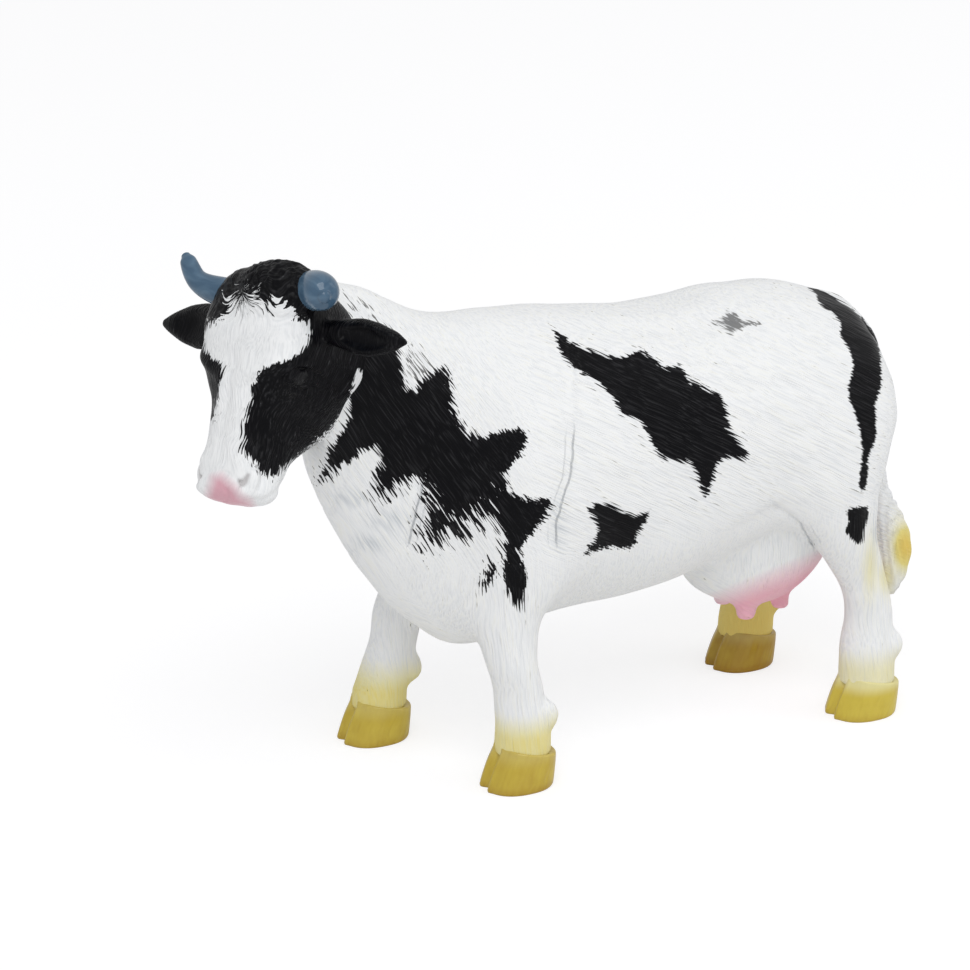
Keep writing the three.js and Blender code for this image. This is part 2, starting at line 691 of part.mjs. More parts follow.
const earSkin = (side, grow) => skin(earRings(side), EAR_FACETS, grow);

// The cup of an ear is the ear's own leaf, smaller, moved forward out of its front.
function earCup(side) {
  const rings = earRings(side);
  const wall = EAR_WALL_SHARE * EAR_THICKNESS;
  const cupRing = (share) => {
    const ring = rings(lerp(EAR_CUP_START_SHARE, EAR_CUP_END_SHARE, share));
    const taper = Math.sqrt(Math.sin(Math.PI * lerp(EAR_CUP_TIP_SHARE, 1 - EAR_CUP_TIP_SHARE, share)));
    const tall = taper * Math.max(ring.up - wall, wall / 2);
    const wide = ring.wide + EAR_THICKNESS / 2 - wall;
    return { ...ring, middle: ring.middle.add(at(0, 0, EAR_THICKNESS / 2)), wide, up: tall, down: tall };
  };
  return skin(cupRing, EAR_CUP_FACETS);
}

// Placing the head: its poll stands over the end of the neck.
const neckEnd = trunkRing(1).middle;
headGroup.position.copy(neckEnd).add(at(-HEAD_FORWARD, HEAD_SIDEWAYS, HEAD_RISE));
const angles = [HEAD_TILT_DEGREES, HEAD_NOD_DEGREES, HEAD_TURN_DEGREES].map(degToRad);
headGroup.rotation.set(...angles, "ZYX");
headGroup.updateMatrixWorld(true);

// The neck seen from the head, as the socket that it needs there
function neckSocket() {
  const neck = toGeometry(trunkSkin(SEAT_GAP));
  return toSolid(neck.applyMatrix4(headGroup.matrixWorld.clone().invert()));
}

function headPiece() {
  const parts = [tuft(), ...eye(LEFT), ...eye(RIGHT)];
  const sockets = [LEFT, RIGHT].flatMap((side) => [hornSkin(side, SEAT_GAP), earSkin(side, SEAT_GAP)]);
  const whole = join(skin(headRingEased, HEAD_FACETS), parts);
  return cut(whole, [...sockets, neckSocket(), nostril(LEFT), nostril(RIGHT), mouth()]);
}

// All the pieces. A larger piece is cut by the grown form of each one that plugs into it.
const udder = udderBag(0);
const legCutters = LEGS.map((leg) => legSkin(leg, SEAT_GAP));
const hindCutters = legCutters.filter((_, i) => !LEGS[i].front);
const tailCutter = tailSkin(SEAT_GAP);
const trunkCutters = [trunkHollow(), ...legCutters, udderBag(SEAT_GAP).solid, tailCutter];
add("trunk", cut(trunkSkin(0), trunkCutters), white);
add("head", headPiece(), black, headGroup);
for (const side of [LEFT, RIGHT]) {
  const name = side === LEFT ? "left" : "right";
  add(name + "_horn", hornSkin(side, 0), slate, headGroup);
  add(name + "_ear", cut(earSkin(side, 0), [earCup(side)]), black, headGroup);
}
for (const leg of LEGS) {
  add(leg.name + "_leg", cut(legPiece(leg), leg.front ? [] : [tailCutter]), white);
  add(leg.name + "_hoof", hoofPiece(leg), gold);
}
add("udder", cut(join(udder.solid, teats(udder.middle)), hindCutters), pink);
add("tail", tailSkin(0), white);

// Moving the whole figure so that its origin is on the ground under its middle
figure.updateMatrixWorld(true);
const box = new THREE.Box3().setFromObject(figure, true);
figure.position.set(-(box.min.x + box.max.x) / 2, -(box.min.y + box.max.y) / 2, -box.min.z);

export default figure;
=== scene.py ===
"""A toy cow figure of soft vinyl, dressed over its CAD frame: hide, head, horns, hooves and the white ground.

Sizes are millimetres in the trunk's own frame (buttocks at x = 0, forward is -X, left is -Y) until a mesh is made.
"""

import bpy
import numpy as np
import openvdb as vdb
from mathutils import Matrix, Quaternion, Vector


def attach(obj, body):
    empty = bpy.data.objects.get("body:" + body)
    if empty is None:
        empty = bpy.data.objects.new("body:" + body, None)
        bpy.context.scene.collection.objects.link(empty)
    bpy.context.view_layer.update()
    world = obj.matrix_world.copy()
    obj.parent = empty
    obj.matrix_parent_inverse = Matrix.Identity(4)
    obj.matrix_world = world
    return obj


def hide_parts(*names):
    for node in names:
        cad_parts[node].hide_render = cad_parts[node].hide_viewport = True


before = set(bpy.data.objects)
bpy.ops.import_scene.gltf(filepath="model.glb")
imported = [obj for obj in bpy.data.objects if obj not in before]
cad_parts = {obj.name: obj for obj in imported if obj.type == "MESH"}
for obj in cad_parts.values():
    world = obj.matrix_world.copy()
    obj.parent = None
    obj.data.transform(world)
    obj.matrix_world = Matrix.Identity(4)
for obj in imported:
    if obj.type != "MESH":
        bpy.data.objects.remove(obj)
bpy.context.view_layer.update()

# The trunk with its neck: one hollow shell of soft vinyl, cast with a short furrowed coat, that carries every other
# piece. It is a skin over rings, kept as a field of distances, so that the pieces that are pressed and glued into it
# can run into its skin.
CELL = 0.72
BAND_CELLS = 12
HIDE_LOW = np.array([-158.0, -42.0, 8.0])
HIDE_HIGH = np.array([10.0, 42.0, 124.0])

TRUNK_LENGTH = 150.0
BACK_HEIGHT = 105.0
TRUNK_HALF_WIDTH = 30.0
TRUNK_WAIST_SHARE = 0.48
# place and height of the top line, place and height of the belly line, half width, turn to the left
TRUNK_SHARES = [
    [0.0, 0.8, 0.0, 0.63, 0.27, 0],
    [0.02, 0.875, 0.02, 0.57, 0.53, 0],
    [0.073, 0.935, 0.073, 0.505, 0.75, 0],
    [0.16, 0.98, 0.16, 0.45, 0.88, 0],
    [0.247, 0.985, 0.247, 0.4, 0.95, 0],
    [0.333, 0.975, 0.333, 0.365, 0.99, 0],
    [0.433, 0.98, 0.433, 0.335, 1.0, 0],
    [0.54, 1.0, 0.545, 0.325, 0.95, 0],
    [0.6, 1.01, 0.61, 0.315, 0.91, 0],
    [0.65, 1.015, 0.67, 0.28, 0.86, 0],
    [0.707, 1.02, 0.75, 0.29, 0.76, 0],
    [0.767, 1.035, 0.835, 0.4, 0.65, 0],
    [0.82, 1.075, 0.895, 0.53, 0.53, 0.01],
    [0.873, 1.115, 0.94, 0.665, 0.42, 0.02],
    [0.927, 1.13, 0.965, 0.8, 0.34, 0.05],
    [0.95, 1.08, 0.98, 0.88, 0.27, 0.08],
]
TRUNK_RINGS = 150
TRUNK_AROUND = 120
ALONG, ACROSS, UPRIGHT = np.eye(3)[:, None]


def rows_at(table, places):
    """Rows of a table at many places, on the cubic through each pair of rows with slopes from their neighbours."""
    rows = np.array(table, float)
    i = np.clip(np.searchsorted(rows[:, 0], places, side="right") - 1, 0, len(rows) - 2)
    before, a, b, after = (rows[np.clip(i + k, 0, len(rows) - 1)] for k in (-1, 0, 1, 2))
    step = b[:, :1] - a[:, :1]
    t = np.clip((np.asarray(places)[:, None] - a[:, :1]) / step, 0, 1)
    slope_a = (b - before) / (b[:, :1] - before[:, :1]) * step
    slope_b = (after - a) / (after[:, :1] - a[:, :1]) * step
    rise = b - a
    return a + t * (slope_a + t * (3 * rise - 2 * slope_a - slope_b + t * (slope_a + slope_b - 2 * rise)))


def cosine_steps(count):
    """Shares from 0 to 1 that lie closest together at both ends: (1 - cos(pi * way)) / 2."""
    return (1 - np.cos(np.pi * np.arange(count) / (count - 1))) / 2


def squared(angle, power):
    """The cosine and sine of an angle, each to a power with its sign kept: a power below 1 fills an oval's corners."""
    c, s = np.cos(angle), np.sin(angle)
    return np.sign(c) * np.abs(c) ** power, np.sign(s) * np.abs(s) ** power


def rings(middle, side, rise, wide, up, down, around, power=1.0):
    """Points (along, around, 3) of ovals: middle + wide * cos^power * side + reach * sin^power * rise."""
    c, s = squared(2 * np.pi * np.arange(around) / around, power)
    reach = np.where(s > 0, up[:, None], down[:, None]) * s
    return middle[:, None] + (wide[:, None] * c)[..., None] * side[:, None] + reach[..., None] * rise[:, None]


def faces_of(grid):
    """Quads over a closed-round grid and the triangles that close its two ends at their middles."""
    count, around = grid.shape[:2]
    i, j = np.meshgrid(np.arange(count - 1), np.arange(around), indexing="ij")
    k = (j + 1) % around
    quads = np.stack([i * around + j, i * around + k, (i + 1) * around + k, (i + 1) * around + j], -1).reshape(-1, 4)
    j, k = np.arange(around), (np.arange(around) + 1) % around
    first = np.stack([np.full(around, count * around), k, j], 1)
    end = (count - 1) * around
    last = np.stack([np.full(around, count * around + 1), end + j, end + k], 1)
    points = np.concatenate([grid.reshape(-1, 3), grid[0].mean(0)[None], grid[-1].mean(0)[None]])
    return points, quads, np.concatenate([first, last])


def outward(points, faces):
    """The faces, turned over if the volume they close, the sum of a . (b x c), comes out negative."""
    a, b, c = points[faces].transpose(1, 0, 2)
    return faces if (a * np.cross(b, c)).sum() > 0 else faces[:, ::-1]


class Field:
    """A box of cells that skins are measured in, as distances in mm that are negative inside."""

    def __init__(self, low, high, cell):
        self.cell = cell
        self.start = np.floor(low / cell).astype(int)
        self.shape = tuple(np.ceil((high - low) / cell).astype(int))
        self.corner = tuple(int(k) for k in self.start)
        self.transform = vdb.createLinearTransform(cell)

    def distance(self, *grids):
        """The distance from every cell to the nearest of the skins over grids of points."""
        shells = [faces_of(grid) for grid in grids]
        starts = np.r_[0, np.cumsum([len(shell[0]) for shell in shells])[:-1]]
        quads, triangles = (np.concatenate([shell[k] + start for shell, start in zip(shells, starts)]) for k in (1, 2))
        level = vdb.FloatGrid.createLevelSetFromPolygons(
            np.concatenate([shell[0] for shell in shells]).astype(np.float32),
            triangles=triangles.astype(np.uint32),
            quads=quads.astype(np.uint32),
            transform=self.transform,
            halfWidth=BAND_CELLS,
        )
        cells = np.empty(self.shape, np.float32)
        level.copyToArray(cells, ijk=self.corner)
        return cells

    def surface(self, cells):
        """Points and triangles where the distance is nought, facing out."""
        level = vdb.FloatGrid(float(cells.max()))
        level.copyFromArray(np.ascontiguousarray(cells, np.float32), ijk=self.corner)
        level.transform = self.transform
        level.gridClass = vdb.GridClass.LEVEL_SET
        points, quads = level.convertToQuads(0.0)
        points, quads = points.astype(float), quads.astype(int)
        return points, outward(points, np.concatenate([quads[:, [0, 1, 2]], quads[:, [0, 2, 3]]]))

    def sample(self, cells, points):
        """The distance at points between the cells, weighted by nearness to the eight cells round each."""
        where = points / self.cell - self.start
        base = np.clip(np.floor(where).astype(int), 0, np.array(self.shape) - 2)
        part = np.clip(where - base, 0, 1)
        total = 0.0
        for corner in np.ndindex(2, 2, 2):
            weight = np.prod(np.where(corner, part, 1 - part), axis=1)
            total = total + weight * cells[tuple((base + corner).T)]
        return total


def trunk_rings():
    """Ovals between the top line and the belly line, whose places step by a cosine from the buttocks to the neck."""
    share = cosine_steps(TRUNK_RINGS)
    top_at, top, belly_at, belly, wide, turn = rows_at(TRUNK_SHARES, TRUNK_SHARES[-1][0] * share).T
    sideways = -turn * TRUNK_HALF_WIDTH
    high = np.stack([-top_at * TRUNK_LENGTH, sideways, top * BACK_HEIGHT], 1)
    low = np.stack([-belly_at * TRUNK_LENGTH, sideways, belly * BACK_HEIGHT], 1)
    tall = np.linalg.norm(high - low, axis=1)
    rise = (high - low) / tall[:, None]
    middle = low + TRUNK_WAIST_SHARE * (high - low)
    up, down = (1 - TRUNK_WAIST_SHARE) * tall, TRUNK_WAIST_SHARE * tall
    return rings(middle, ACROSS, rise, wide * TRUNK_HALF_WIDTH, up, down, TRUNK_AROUND)


hide_field = Field(HIDE_LOW, HIDE_HIGH, CELL)
fields = {"trunk": hide_field.distance(trunk_rings())}

# The four legs: solid soft vinyl with the same coat and two dewclaws behind each pastern. A shoulder or haunch is glued
# through the trunk's side, and the leg ends below in a round peg that its hoof is pushed over.
FRONT_LEG = dict(depth=32.0, width=22.4, place=0.665, top=0.867, spread=0.47)
HIND_LEG = dict(depth=36.0, width=22.0, place=0.1, top=0.886, spread=0.4)
STRAIGHT_SHARE = 0.56
HOOF_HEIGHT = 10.2
HOOF_SPREAD = 20.0
LEG_STEPS = dict(front_left=1.0, front_right=19.0, hind_left=-5.5, hind_right=5.0)
# height, sway to the rear, depth, width, pull of the leg's middle to its root
FRONT_LEG_SHARES = [
    [0.0, 0.0, 0.4, 0.6, 0],
    [0.07, -0.01, 0.38, 0.56, 0],
    [0.16, -0.04, 0.35, 0.52, 0],
    [0.26, -0.09, 0.38, 0.56, 0.08],
    [0.38, -0.08, 0.43, 0.62, 0.17],
    [0.5, 0.06, 0.65, 0.82, 0.25],
    [0.63, 0.12, 0.93, 0.98, 0.33],
    [0.78, 0.15, 1.0, 1.0, 0.5],
    [0.935, 0.18, 0.67, 0.76, 0.83],
    [1.0, 0.18, 0.24, 0.36, 1],
]
HIND_LEG_SHARES = [
    [0.0, 0.0, 0.36, 0.61, 0],
    [0.07, 0.01, 0.345, 0.57, 0],
    [0.16, 0.05, 0.31, 0.5, 0],
    [0.25, 0.04, 0.31, 0.5, 0],
    [0.33, -0.02, 0.35, 0.56, 0],
    [0.42, -0.09, 0.45, 0.68, 0],
    [0.52, -0.16, 0.66, 0.84, 0.06],
    [0.64, -0.2, 0.9, 1.0, 0.19],
    [0.79, -0.17, 1.0, 0.95, 0.44],
    [0.94, -0.14, 0.63, 0.68, 0.81],
    [1.0, -0.13, 0.21, 0.27, 1],
]
ANKLE_SUNK = 4.6
LEG_OVER_HOOF = 0.3
LEG_RINGS = 90
LEG_AROUND = 72
DEWCLAW_HALVES = np.array([2.7, 2.1, 3.3])
DEWCLAW_HEIGHT = 16.8
DEWCLAW_REAR_SHARE = 0.41
DEWCLAW_APART = 3.1
DEWCLAW_MELT = 2.0


def leg_root(name):
    """Where a leg's root and its hoof lie along the trunk, and which side it is on."""
    kind = FRONT_LEG if name.startswith("front") else HIND_LEG
    root = -kind["place"] * TRUNK_LENGTH
    return kind, root, root - LEG_STEPS[name], -1.0 if name.endswith("left") else 1.0


def leg_rings(name):
    """Ovals from the ankle up to the root inside the trunk. The middle leans straight over from the hoof until
    STRAIGHT_SHARE of the height, and the table adds its sway and its pull to the root."""
    kind, root, hoof, hand = leg_root(name)
    table = FRONT_LEG_SHARES if kind is FRONT_LEG else HIND_LEG_SHARES
    share = np.linspace(0, 1, LEG_RINGS)
    _, sway, deep, wide, pull = rows_at(table, share).T
    lean = np.minimum(1, share / STRAIGHT_SHARE)
    x = hoof + (root - hoof) * lean + sway * kind["depth"]
    y = hand * (HOOF_SPREAD + (kind["spread"] * TRUNK_HALF_WIDTH - HOOF_SPREAD) * pull)
    z = HOOF_HEIGHT + LEG_OVER_HOOF + (kind["top"] * BACK_HEIGHT - HOOF_HEIGHT - LEG_OVER_HOOF) * share
    z[0] = HOOF_HEIGHT - ANKLE_SUNK
    half = wide * kind["width"] / 2
    return rings(np.stack([x, y, z], 1), ALONG, ACROSS, deep * kind["depth"] / 2, half, half, LEG_AROUND)


def egg(middle, halves, along=24, around=32):
    """Points of an egg: rings whose radius is the sine, and whose height the cosine, of the way down."""
    way = np.pi * (np.arange(along) + 0.5) / along
    axis = middle - np.cos(way)[:, None] * UPRIGHT * halves
    radius = np.sin(way)
    return rings(axis, ALONG, ACROSS, radius * halves[0], radius * halves[1], radius * halves[1], around)


def melt(a, b, reach):
    """The smooth least of two fields: within reach of each other they run together."""
    share = np.clip(0.5 + 0.5 * (b - a) / reach, 0, 1)
    return b + share * (a - b) - reach * share * (1 - share)


for name in LEG_STEPS:
    leg = leg_rings(name)
    pastern = leg[np.argmin(np.abs(leg[:, 0, 2] - DEWCLAW_HEIGHT))]
    behind = pastern.mean(0) + [DEWCLAW_REAR_SHARE * np.ptp(pastern[:, 0]), 0, 0]
    whole = hide_field.distance(leg)
    for hand in (-1, 1):
        claw = egg(behind + [0, DEWCLAW_APART * hand, 0], DEWCLAW_HALVES)
        whole = melt(whole, hide_field.distance(claw), DEWCLAW_MELT)
    fields[name + "_leg"] = whole

# The udder: a bag of soft vinyl with four teats, cast with the same furrows as the coat. It is glued into the belly
# and sprayed pink from below.
UDDER_HALVES = np.array([20.3, 17.0, 19.6])
UDDER_PLACE_SHARE = 0.2045
TEAT_RADIUS = 2.2
TEAT_LENGTH = 6.0
TEAT_SHOWN = 2.1
TEAT_PLACES = [[-0.09, -0.16], [-0.09, 0.16], [0.17, -0.09], [0.17, 0.09]]
TEAT_SIZE_SHARES = [[0, 0.5, 0.5], [0.08, 0.9, 0.9], [0.3, 1, 1], [0.7, 1.15, 1.15], [1, 1.5, 1.5]]
TEAT_MELT = 2.0


def smooth_path(corners, count):
    """Points and unit directions along the curve through corners (each part the cubic of rows_at), evenly spaced."""
    corners = np.array(corners, float)
    index = np.arange(len(corners))
    fine = rows_at(np.column_stack([index, corners]), np.linspace(0, len(corners) - 1, 400))[:, 1:]
    length = np.r_[0, np.cumsum(np.linalg.norm(np.diff(fine, axis=0), axis=1))]
    points = np.stack([np.interp(np.linspace(0, length[-1], count), length, fine[:, k]) for k in range(3)], 1)
    travel = np.gradient(points, axis=0)
    return points, travel / np.linalg.norm(travel, axis=1)[:, None]


def tube(corners, sizes, half_wide, half_tall, count, around, hint=(1.0, 0, 0)):
    """Points of a tube: ovals square to a smooth path, their halves read from a table of shares."""
    points, travel = smooth_path(corners, count)
    side = np.cross(hint, travel)
    side /= np.linalg.norm(side, axis=1)[:, None]
    _, wide, tall = rows_at(sizes, np.linspace(0, 1, count)).T
    return rings(points, side, np.cross(travel, side), wide * half_wide, tall * half_tall, tall * half_tall, around)


belly = rows_at(TRUNK_SHARES, [UDDER_PLACE_SHARE])[0][3] * BACK_HEIGHT
udder_middle = np.array([-UDDER_PLACE_SHARE * TRUNK_LENGTH, 0, belly])
udder = hide_field.distance(egg(udder_middle, UDDER_HALVES, 60, 72))
for along, across in TEAT_PLACES:
    low = udder_middle[2] - UDDER_HALVES[2] - TEAT_SHOWN
    x, y = udder_middle[0] + along * 2 * UDDER_HALVES[0], across * 2 * UDDER_HALVES[1]
    axis = [[x, y, low + TEAT_LENGTH * way] for way in (0, 0.5, 1)]
    teat = tube(axis, TEAT_SIZE_SHARES, TEAT_RADIUS, TEAT_RADIUS, 30, 24)
    udder = melt(udder, hide_field.distance(teat), TEAT_MELT)
fields["udder"] = udder

# The tail: a rod of soft vinyl, rooted in the top of the rump, with a thicker brush of moulded hair that hangs behind
# the left hind leg.
TAIL_LENGTH = 84.0
TAIL_RADIUS = 3.2
TAIL_ROOT_SHARE = 0.125
TAIL_ROUTE_SHARES = [
    [0.0, 0.0, 0.0],
    [0.13, 0.0, -0.03],
    [0.23, 0.0, -0.15],
    [0.25, -0.01, -0.29],
    [0.245, -0.02, -0.42],
    [0.25, -0.05, -0.59],
    [0.285, -0.08, -0.73],
    [0.262, -0.107, -0.87],
]
TAIL_SIZE_SHARES = [
    [0.0, 1.0, 1.0],
    [0.2, 0.94, 0.94],
    [0.5, 0.78, 0.78],
    [0.65, 0.84, 0.8],
    [0.83, 1.4, 1.35],
    [0.94, 1.1, 1.05],
    [1.0, 0.3, 0.3],
]
TAIL_SUNK = 5.0

tail_top = rows_at(TRUNK_SHARES, [TAIL_ROOT_SHARE])[0][1] * BACK_HEIGHT - TAIL_SUNK
tail_root = np.array([-TAIL_ROOT_SHARE * TRUNK_LENGTH, 0, tail_top])
tail_path = np.array(TAIL_ROUTE_SHARES) * TAIL_LENGTH + tail_root
fields["tail"] = hide_field.distance(tube(tail_path, TAIL_SIZE_SHARES, TAIL_RADIUS, TAIL_RADIUS, 120, 40))

# The coat over the pieces above, which are pressed and glued so that their skins run into each other. The fields melt
# into one skin, which gets relief and paint and is cut back into the pieces: white satin vinyl with black, grey, pink
# and yellow sprayed through masks, the black brushed over the tips of the furrows.
TO_METRES = 0.001
PLACE = np.array([81.43, 1.86, 0.0])
MELTS = dict(leg=7.0, udder=2.5, tail=1.6)
# Where the photograph's lens stood, for all that is placed by a pixel of the photograph
LENS_PLACE = np.array([-354.73, -705.60, 343.74]) - PLACE
LENS_FORWARD = np.array([0.44254, 0.83230, -0.33381])
LENS_RIGHT = np.array([0.88295, -0.46947, 0.0])
LENS_UP = np.cross(LENS_RIGHT, LENS_FORWARD)
LENS_PIXELS = 3655.0
LENS_CENTRE = (640.0, 480.0)
PIXEL = 0.2326
# The cosine between its normal and the lens from which a surface starts to face the lens, and the band it takes
FACING_FROM = -0.05
FACING_BAND = 0.12

hide = fields["trunk"]
for name in list(fields)[1:]:
    hide = melt(hide, fields[name], MELTS[name.split("_")[-1]])
hide_points, hide_faces = hide_field.surface(hide)


def seen_at(points):
    """The photograph's pixel (across, down) that shows each point."""
    ray = points - LENS_PLACE
    depth = ray @ LENS_FORWARD
    across = LENS_CENTRE[0] + LENS_PIXELS * (ray @ LENS_RIGHT) / depth
    down = LENS_CENTRE[1] - LENS_PIXELS * (ray @ LENS_UP) / depth
    return across, down


def vertex_normals(points, faces):
    """Mean normal of the faces round each point, weighted by area."""
    a, b, c = points[faces].transpose(1, 0, 2)
    normal = np.cross(b - a, c - a)
    total = np.zeros_like(points)
    for corner in range(3):
        for axis in range(3):
            total[:, axis] += np.bincount(faces[:, corner], normal[:, axis], len(points))
    return total / np.maximum(np.linalg.norm(total, axis=1), 1e-12)[:, None]


def facing(points, normals):
    """1 where the surface faces the lens, 0 where it turns away, by the cosine between its normal and the ray."""
    ray = LENS_PLACE - points
    ray /= np.linalg.norm(ray, axis=1)[:, None]
    return np.clip(((ray * normals).sum(1) - FACING_FROM) / FACING_BAND, 0, 1)


def to_left(points):
    """Factors that mirror the points of the right side onto the left, which the photograph shows."""
    return np.where(points[:, 1:2] > 0, [[1, -1, 1]], [[1, 1, 1]])


def ramp(value, low, high):
    """0 below low, 1 above high and a smooth step between them."""
    t = np.clip((value - low) / (high - low), 0, 1)
    return t * t * (3 - 2 * t)


def falling(value, low, high):
    """1 below low, 0 above high and a smooth step between them."""
    return ramp(-value, -high, -low)


def beside_line(across, down, line):
    """Distance in pixels to a line of corners, negative on the left of its way: the least over its straight parts."""
    best = np.full(across.shape, 1e9)
    for (ax, ay), (bx, by) in zip(line[:-1], line[1:]):
        u, v, wide, tall = across - ax, down - ay, bx - ax, by - ay
        t = np.clip((u * wide + v * tall) / (wide**2 + tall**2), 0, 1)
        apart = np.hypot(u - t * wide, v - t * tall)
        best = np.where(apart < np.abs(best), np.where(wide * v - tall * u > 0, -apart, apart), best)
    return best


def in_outline(across, down, outline):
    """Distance in pixels to a closed outline, positive inside it: where a ray to the right meets it an odd number of
    times."""
    line = [*outline, outline[0]]
    inside = np.zeros(across.shape, bool)
    for (ax, ay), (bx, by) in zip(line[:-1], line[1:]):
        if ay != by:
            inside ^= ((ay > down) != (by > down)) & (across < ax + (down - ay) * (bx - ax) / (by - ay))
    return np.where(inside, 1, -1) * np.abs(beside_line(across, down, line))


def blot(across, down, x, y, wide, tall):
    """A soft spot in the photograph's pixels, 1 at its middle: exp(-r^2), with r in its half sizes."""
    return np.exp(-(((across - x) / wide) ** 2) - ((down - y) / tall) ** 2)


# Relief of the hide, in the photograph's pixels on the left side and mirrored onto the right: the middle of a swelling,
# its half width and half height, its slant in degrees and its rise in mm
SWELLINGS = [
    [708, 300, 34, 16, -12, 0.9],
    [735, 400, 46, 60, 20, 0.8],
    [505, 420, 40, 60, -15, 0.9],
    [470, 505, 26, 30, 0, 0.9],
    [600, 440, 60, 70, 0, 0.5],
    [690, 500, 40, 30, -30, -0.9],
    [650, 330, 60, 12, 5, -0.5],
    [395, 420, 22, 60, 25, -0.7],
    [556, 440, 14, 70, 3, -0.7],
    [512, 668, 12, 16, 0, 0.6],
    [862, 600, 10, 12, 0, 0.5],
    [345, 440, 12, 36, 18, 0.8],
]
# corners of a furrow, its half width in pixels and its depth in mm
FURROWS = [
    ([(427, 468), (420, 500), (408, 545)], 4.0, 0.7),
    ([(572, 345), (573, 400), (568, 470), (553, 520), (556, 552)], 4.0, 0.5),
    ([(776, 508), (787, 513), (800, 525), (812, 543)], 3.0, 0.8),
    ([(778, 508), (740, 528), (705, 560), (690, 580)], 6.0, 0.5),
    ([(352, 465), (338, 490), (330, 512)], 3.5, 0.5),
    ([(384, 500), (372, 530), (352, 560)], 5.0, 0.4),
    ([(470, 600), (480, 585), (500, 575)], 5.0, 0.35),
]
# Unevenness of the cast skin in mm, and the tufts moulded round the tail's brush: distance from the tail and heights
# over which they fade out, the brush's middle, how many there are, their twist per mm and their height
WAVE_HEIGHT = 0.16
BRUSH_BAND = (0.2, 1.2)
BRUSH_TOP = (52, 62)
BRUSH_MIDDLE = (4, -8)
BRUSH_TUFTS = 11
BRUSH_TWIST = 0.05
BRUSH_TUFT_HEIGHT = 0.3


def relief(seen, normals, swellings, furrows):
    """Rise in mm of points as the lens would see them: swellings fall off as exp(-r^2) and furrows are grooves
    as exp(-d^2) along their lines."""
    across, down = seen_at(seen)
    turned = facing(seen, normals)
    rise = np.zeros(len(seen))
    for x, y, wide, tall, slant, height in swellings:
        c, s = np.cos(np.radians(slant)), np.sin(np.radians(slant))
        u, v = (across - x) * c + (down - y) * s, (down - y) * c - (across - x) * s
        rise += turned * height * blot(u, v, 0, 0, wide, tall)
    for line, width, depth in furrows:
        rise -= turned * depth * np.exp(-((beside_line(across, down, line) / width) ** 2))
    return rise


def slow_wave(points, size=1.0):
    """A gentle unevenness: the product of two sines that run in different directions."""
    return np.sin(points @ [0.23, 0.31, 0.19] / size) * np.sin(points @ [-0.17, 0.21, 0.33] / size + 1.7)


hide_normals = vertex_normals(hide_points, hide_faces)
leftward = to_left(hide_points)
hide_rise = relief(hide_points * leftward, hide_normals * leftward, SWELLINGS, FURROWS)
x, y, z = hide_points.T
brush = falling(hide_field.sample(fields["tail"], hide_points), *BRUSH_BAND) * falling(z, *BRUSH_TOP)
turn = np.arctan2(y - BRUSH_MIDDLE[1], x - BRUSH_MIDDLE[0]) + BRUSH_TWIST * z
hide_rise += WAVE_HEIGHT * slow_wave(hide_points) + brush * BRUSH_TUFT_HEIGHT * np.sin(BRUSH_TUFTS * turn)
hide_points = hide_points + hide_rise[:, None] * hide_normals
hide_normals = vertex_normals(hide_points, hide_faces)

# The black patches as the photograph shows them, corner by corner, with the edge on the lower left brushed out thin
NECK_PATCH = [
    (349, 340), (390, 338), (400, 354), (404, 374), (408, 389), (414, 390), (420, 382), (430, 374), (440, 368),
    (446, 367), (450, 375), (452, 390), (456, 408), (461, 422), (469, 434), (479, 439), (496, 432), (512, 430),
    (521, 428), (528, 434), (526, 447), (518, 459), (508, 472), (507, 486), (516, 495), (530, 499), (550, 500),
    (552, 507), (547, 517), (538, 528), (524, 543), (520, 550), (524, 563), (528, 580), (526, 600), (522, 611),
    (515, 604), (507, 586), (503, 570), (506, 550), (505, 538), (500, 528), (492, 518), (478, 520), (466, 527),
    (450, 535), (428, 545), (424, 530), (426, 512), (424, 490), (419, 476), (408, 481), (392, 494), (378, 500),
    (372, 490), (376, 472), (383, 457), (374, 447), (362, 451), (348, 463), (332, 475), (320, 480), (326, 455),
    (338, 438), (350, 418),
]
FLANK_PATCH = [
    (555, 329), (568, 339), (586, 350), (601, 353), (616, 357), (628, 356), (636, 350), (644, 351), (664, 366),
    (673, 369), (679, 364), (686, 375), (692, 382), (708, 389), (719, 394), (727, 405), (729, 428), (738, 440),
    (748, 453), (747, 460), (724, 458), (717, 465), (713, 480), (707, 500), (702, 490), (697, 474), (690, 463),
    (664, 460), (655, 449), (650, 436), (642, 422), (622, 414), (616, 401), (604, 388), (592, 379), (574, 367),
    (562, 357), (558, 340),
]
BELLY_PATCH = [
    (589, 510), (595, 503), (610, 504), (622, 510), (636, 517), (651, 510), (647, 523), (639, 531), (637, 542),
    (631, 549), (614, 547), (600, 550), (584, 556), (592, 543), (599, 533), (596, 522),
]
RUMP_BAND = [
    (776, 276), (806, 287), (815, 295), (820, 305), (832, 313), (840, 323), (840, 336), (850, 352), (853, 367),
    (848, 385), (848, 398), (857, 422), (862, 448), (860, 471), (858, 488), (863, 493), (867, 480), (868, 459),
    (876, 436), (875, 404), (881, 385), (881, 368), (878, 340), (866, 322), (850, 308), (828, 294), (806, 284),
]
THIGH_SPOT = [
    (845, 512), (852, 507), (867, 507), (868, 516), (864, 529), (863, 543), (856, 543), (844, 532), (848, 522),
]
GREY_SPOT = [(710, 323), (722, 320), (728, 311), (735, 313), (742, 320), (760, 324), (744, 328), (731, 334), (724, 328)]
LEG_STROKES = [(490, 560), (497, 568), (494, 582), (486, 590), (483, 584), (488, 573)]
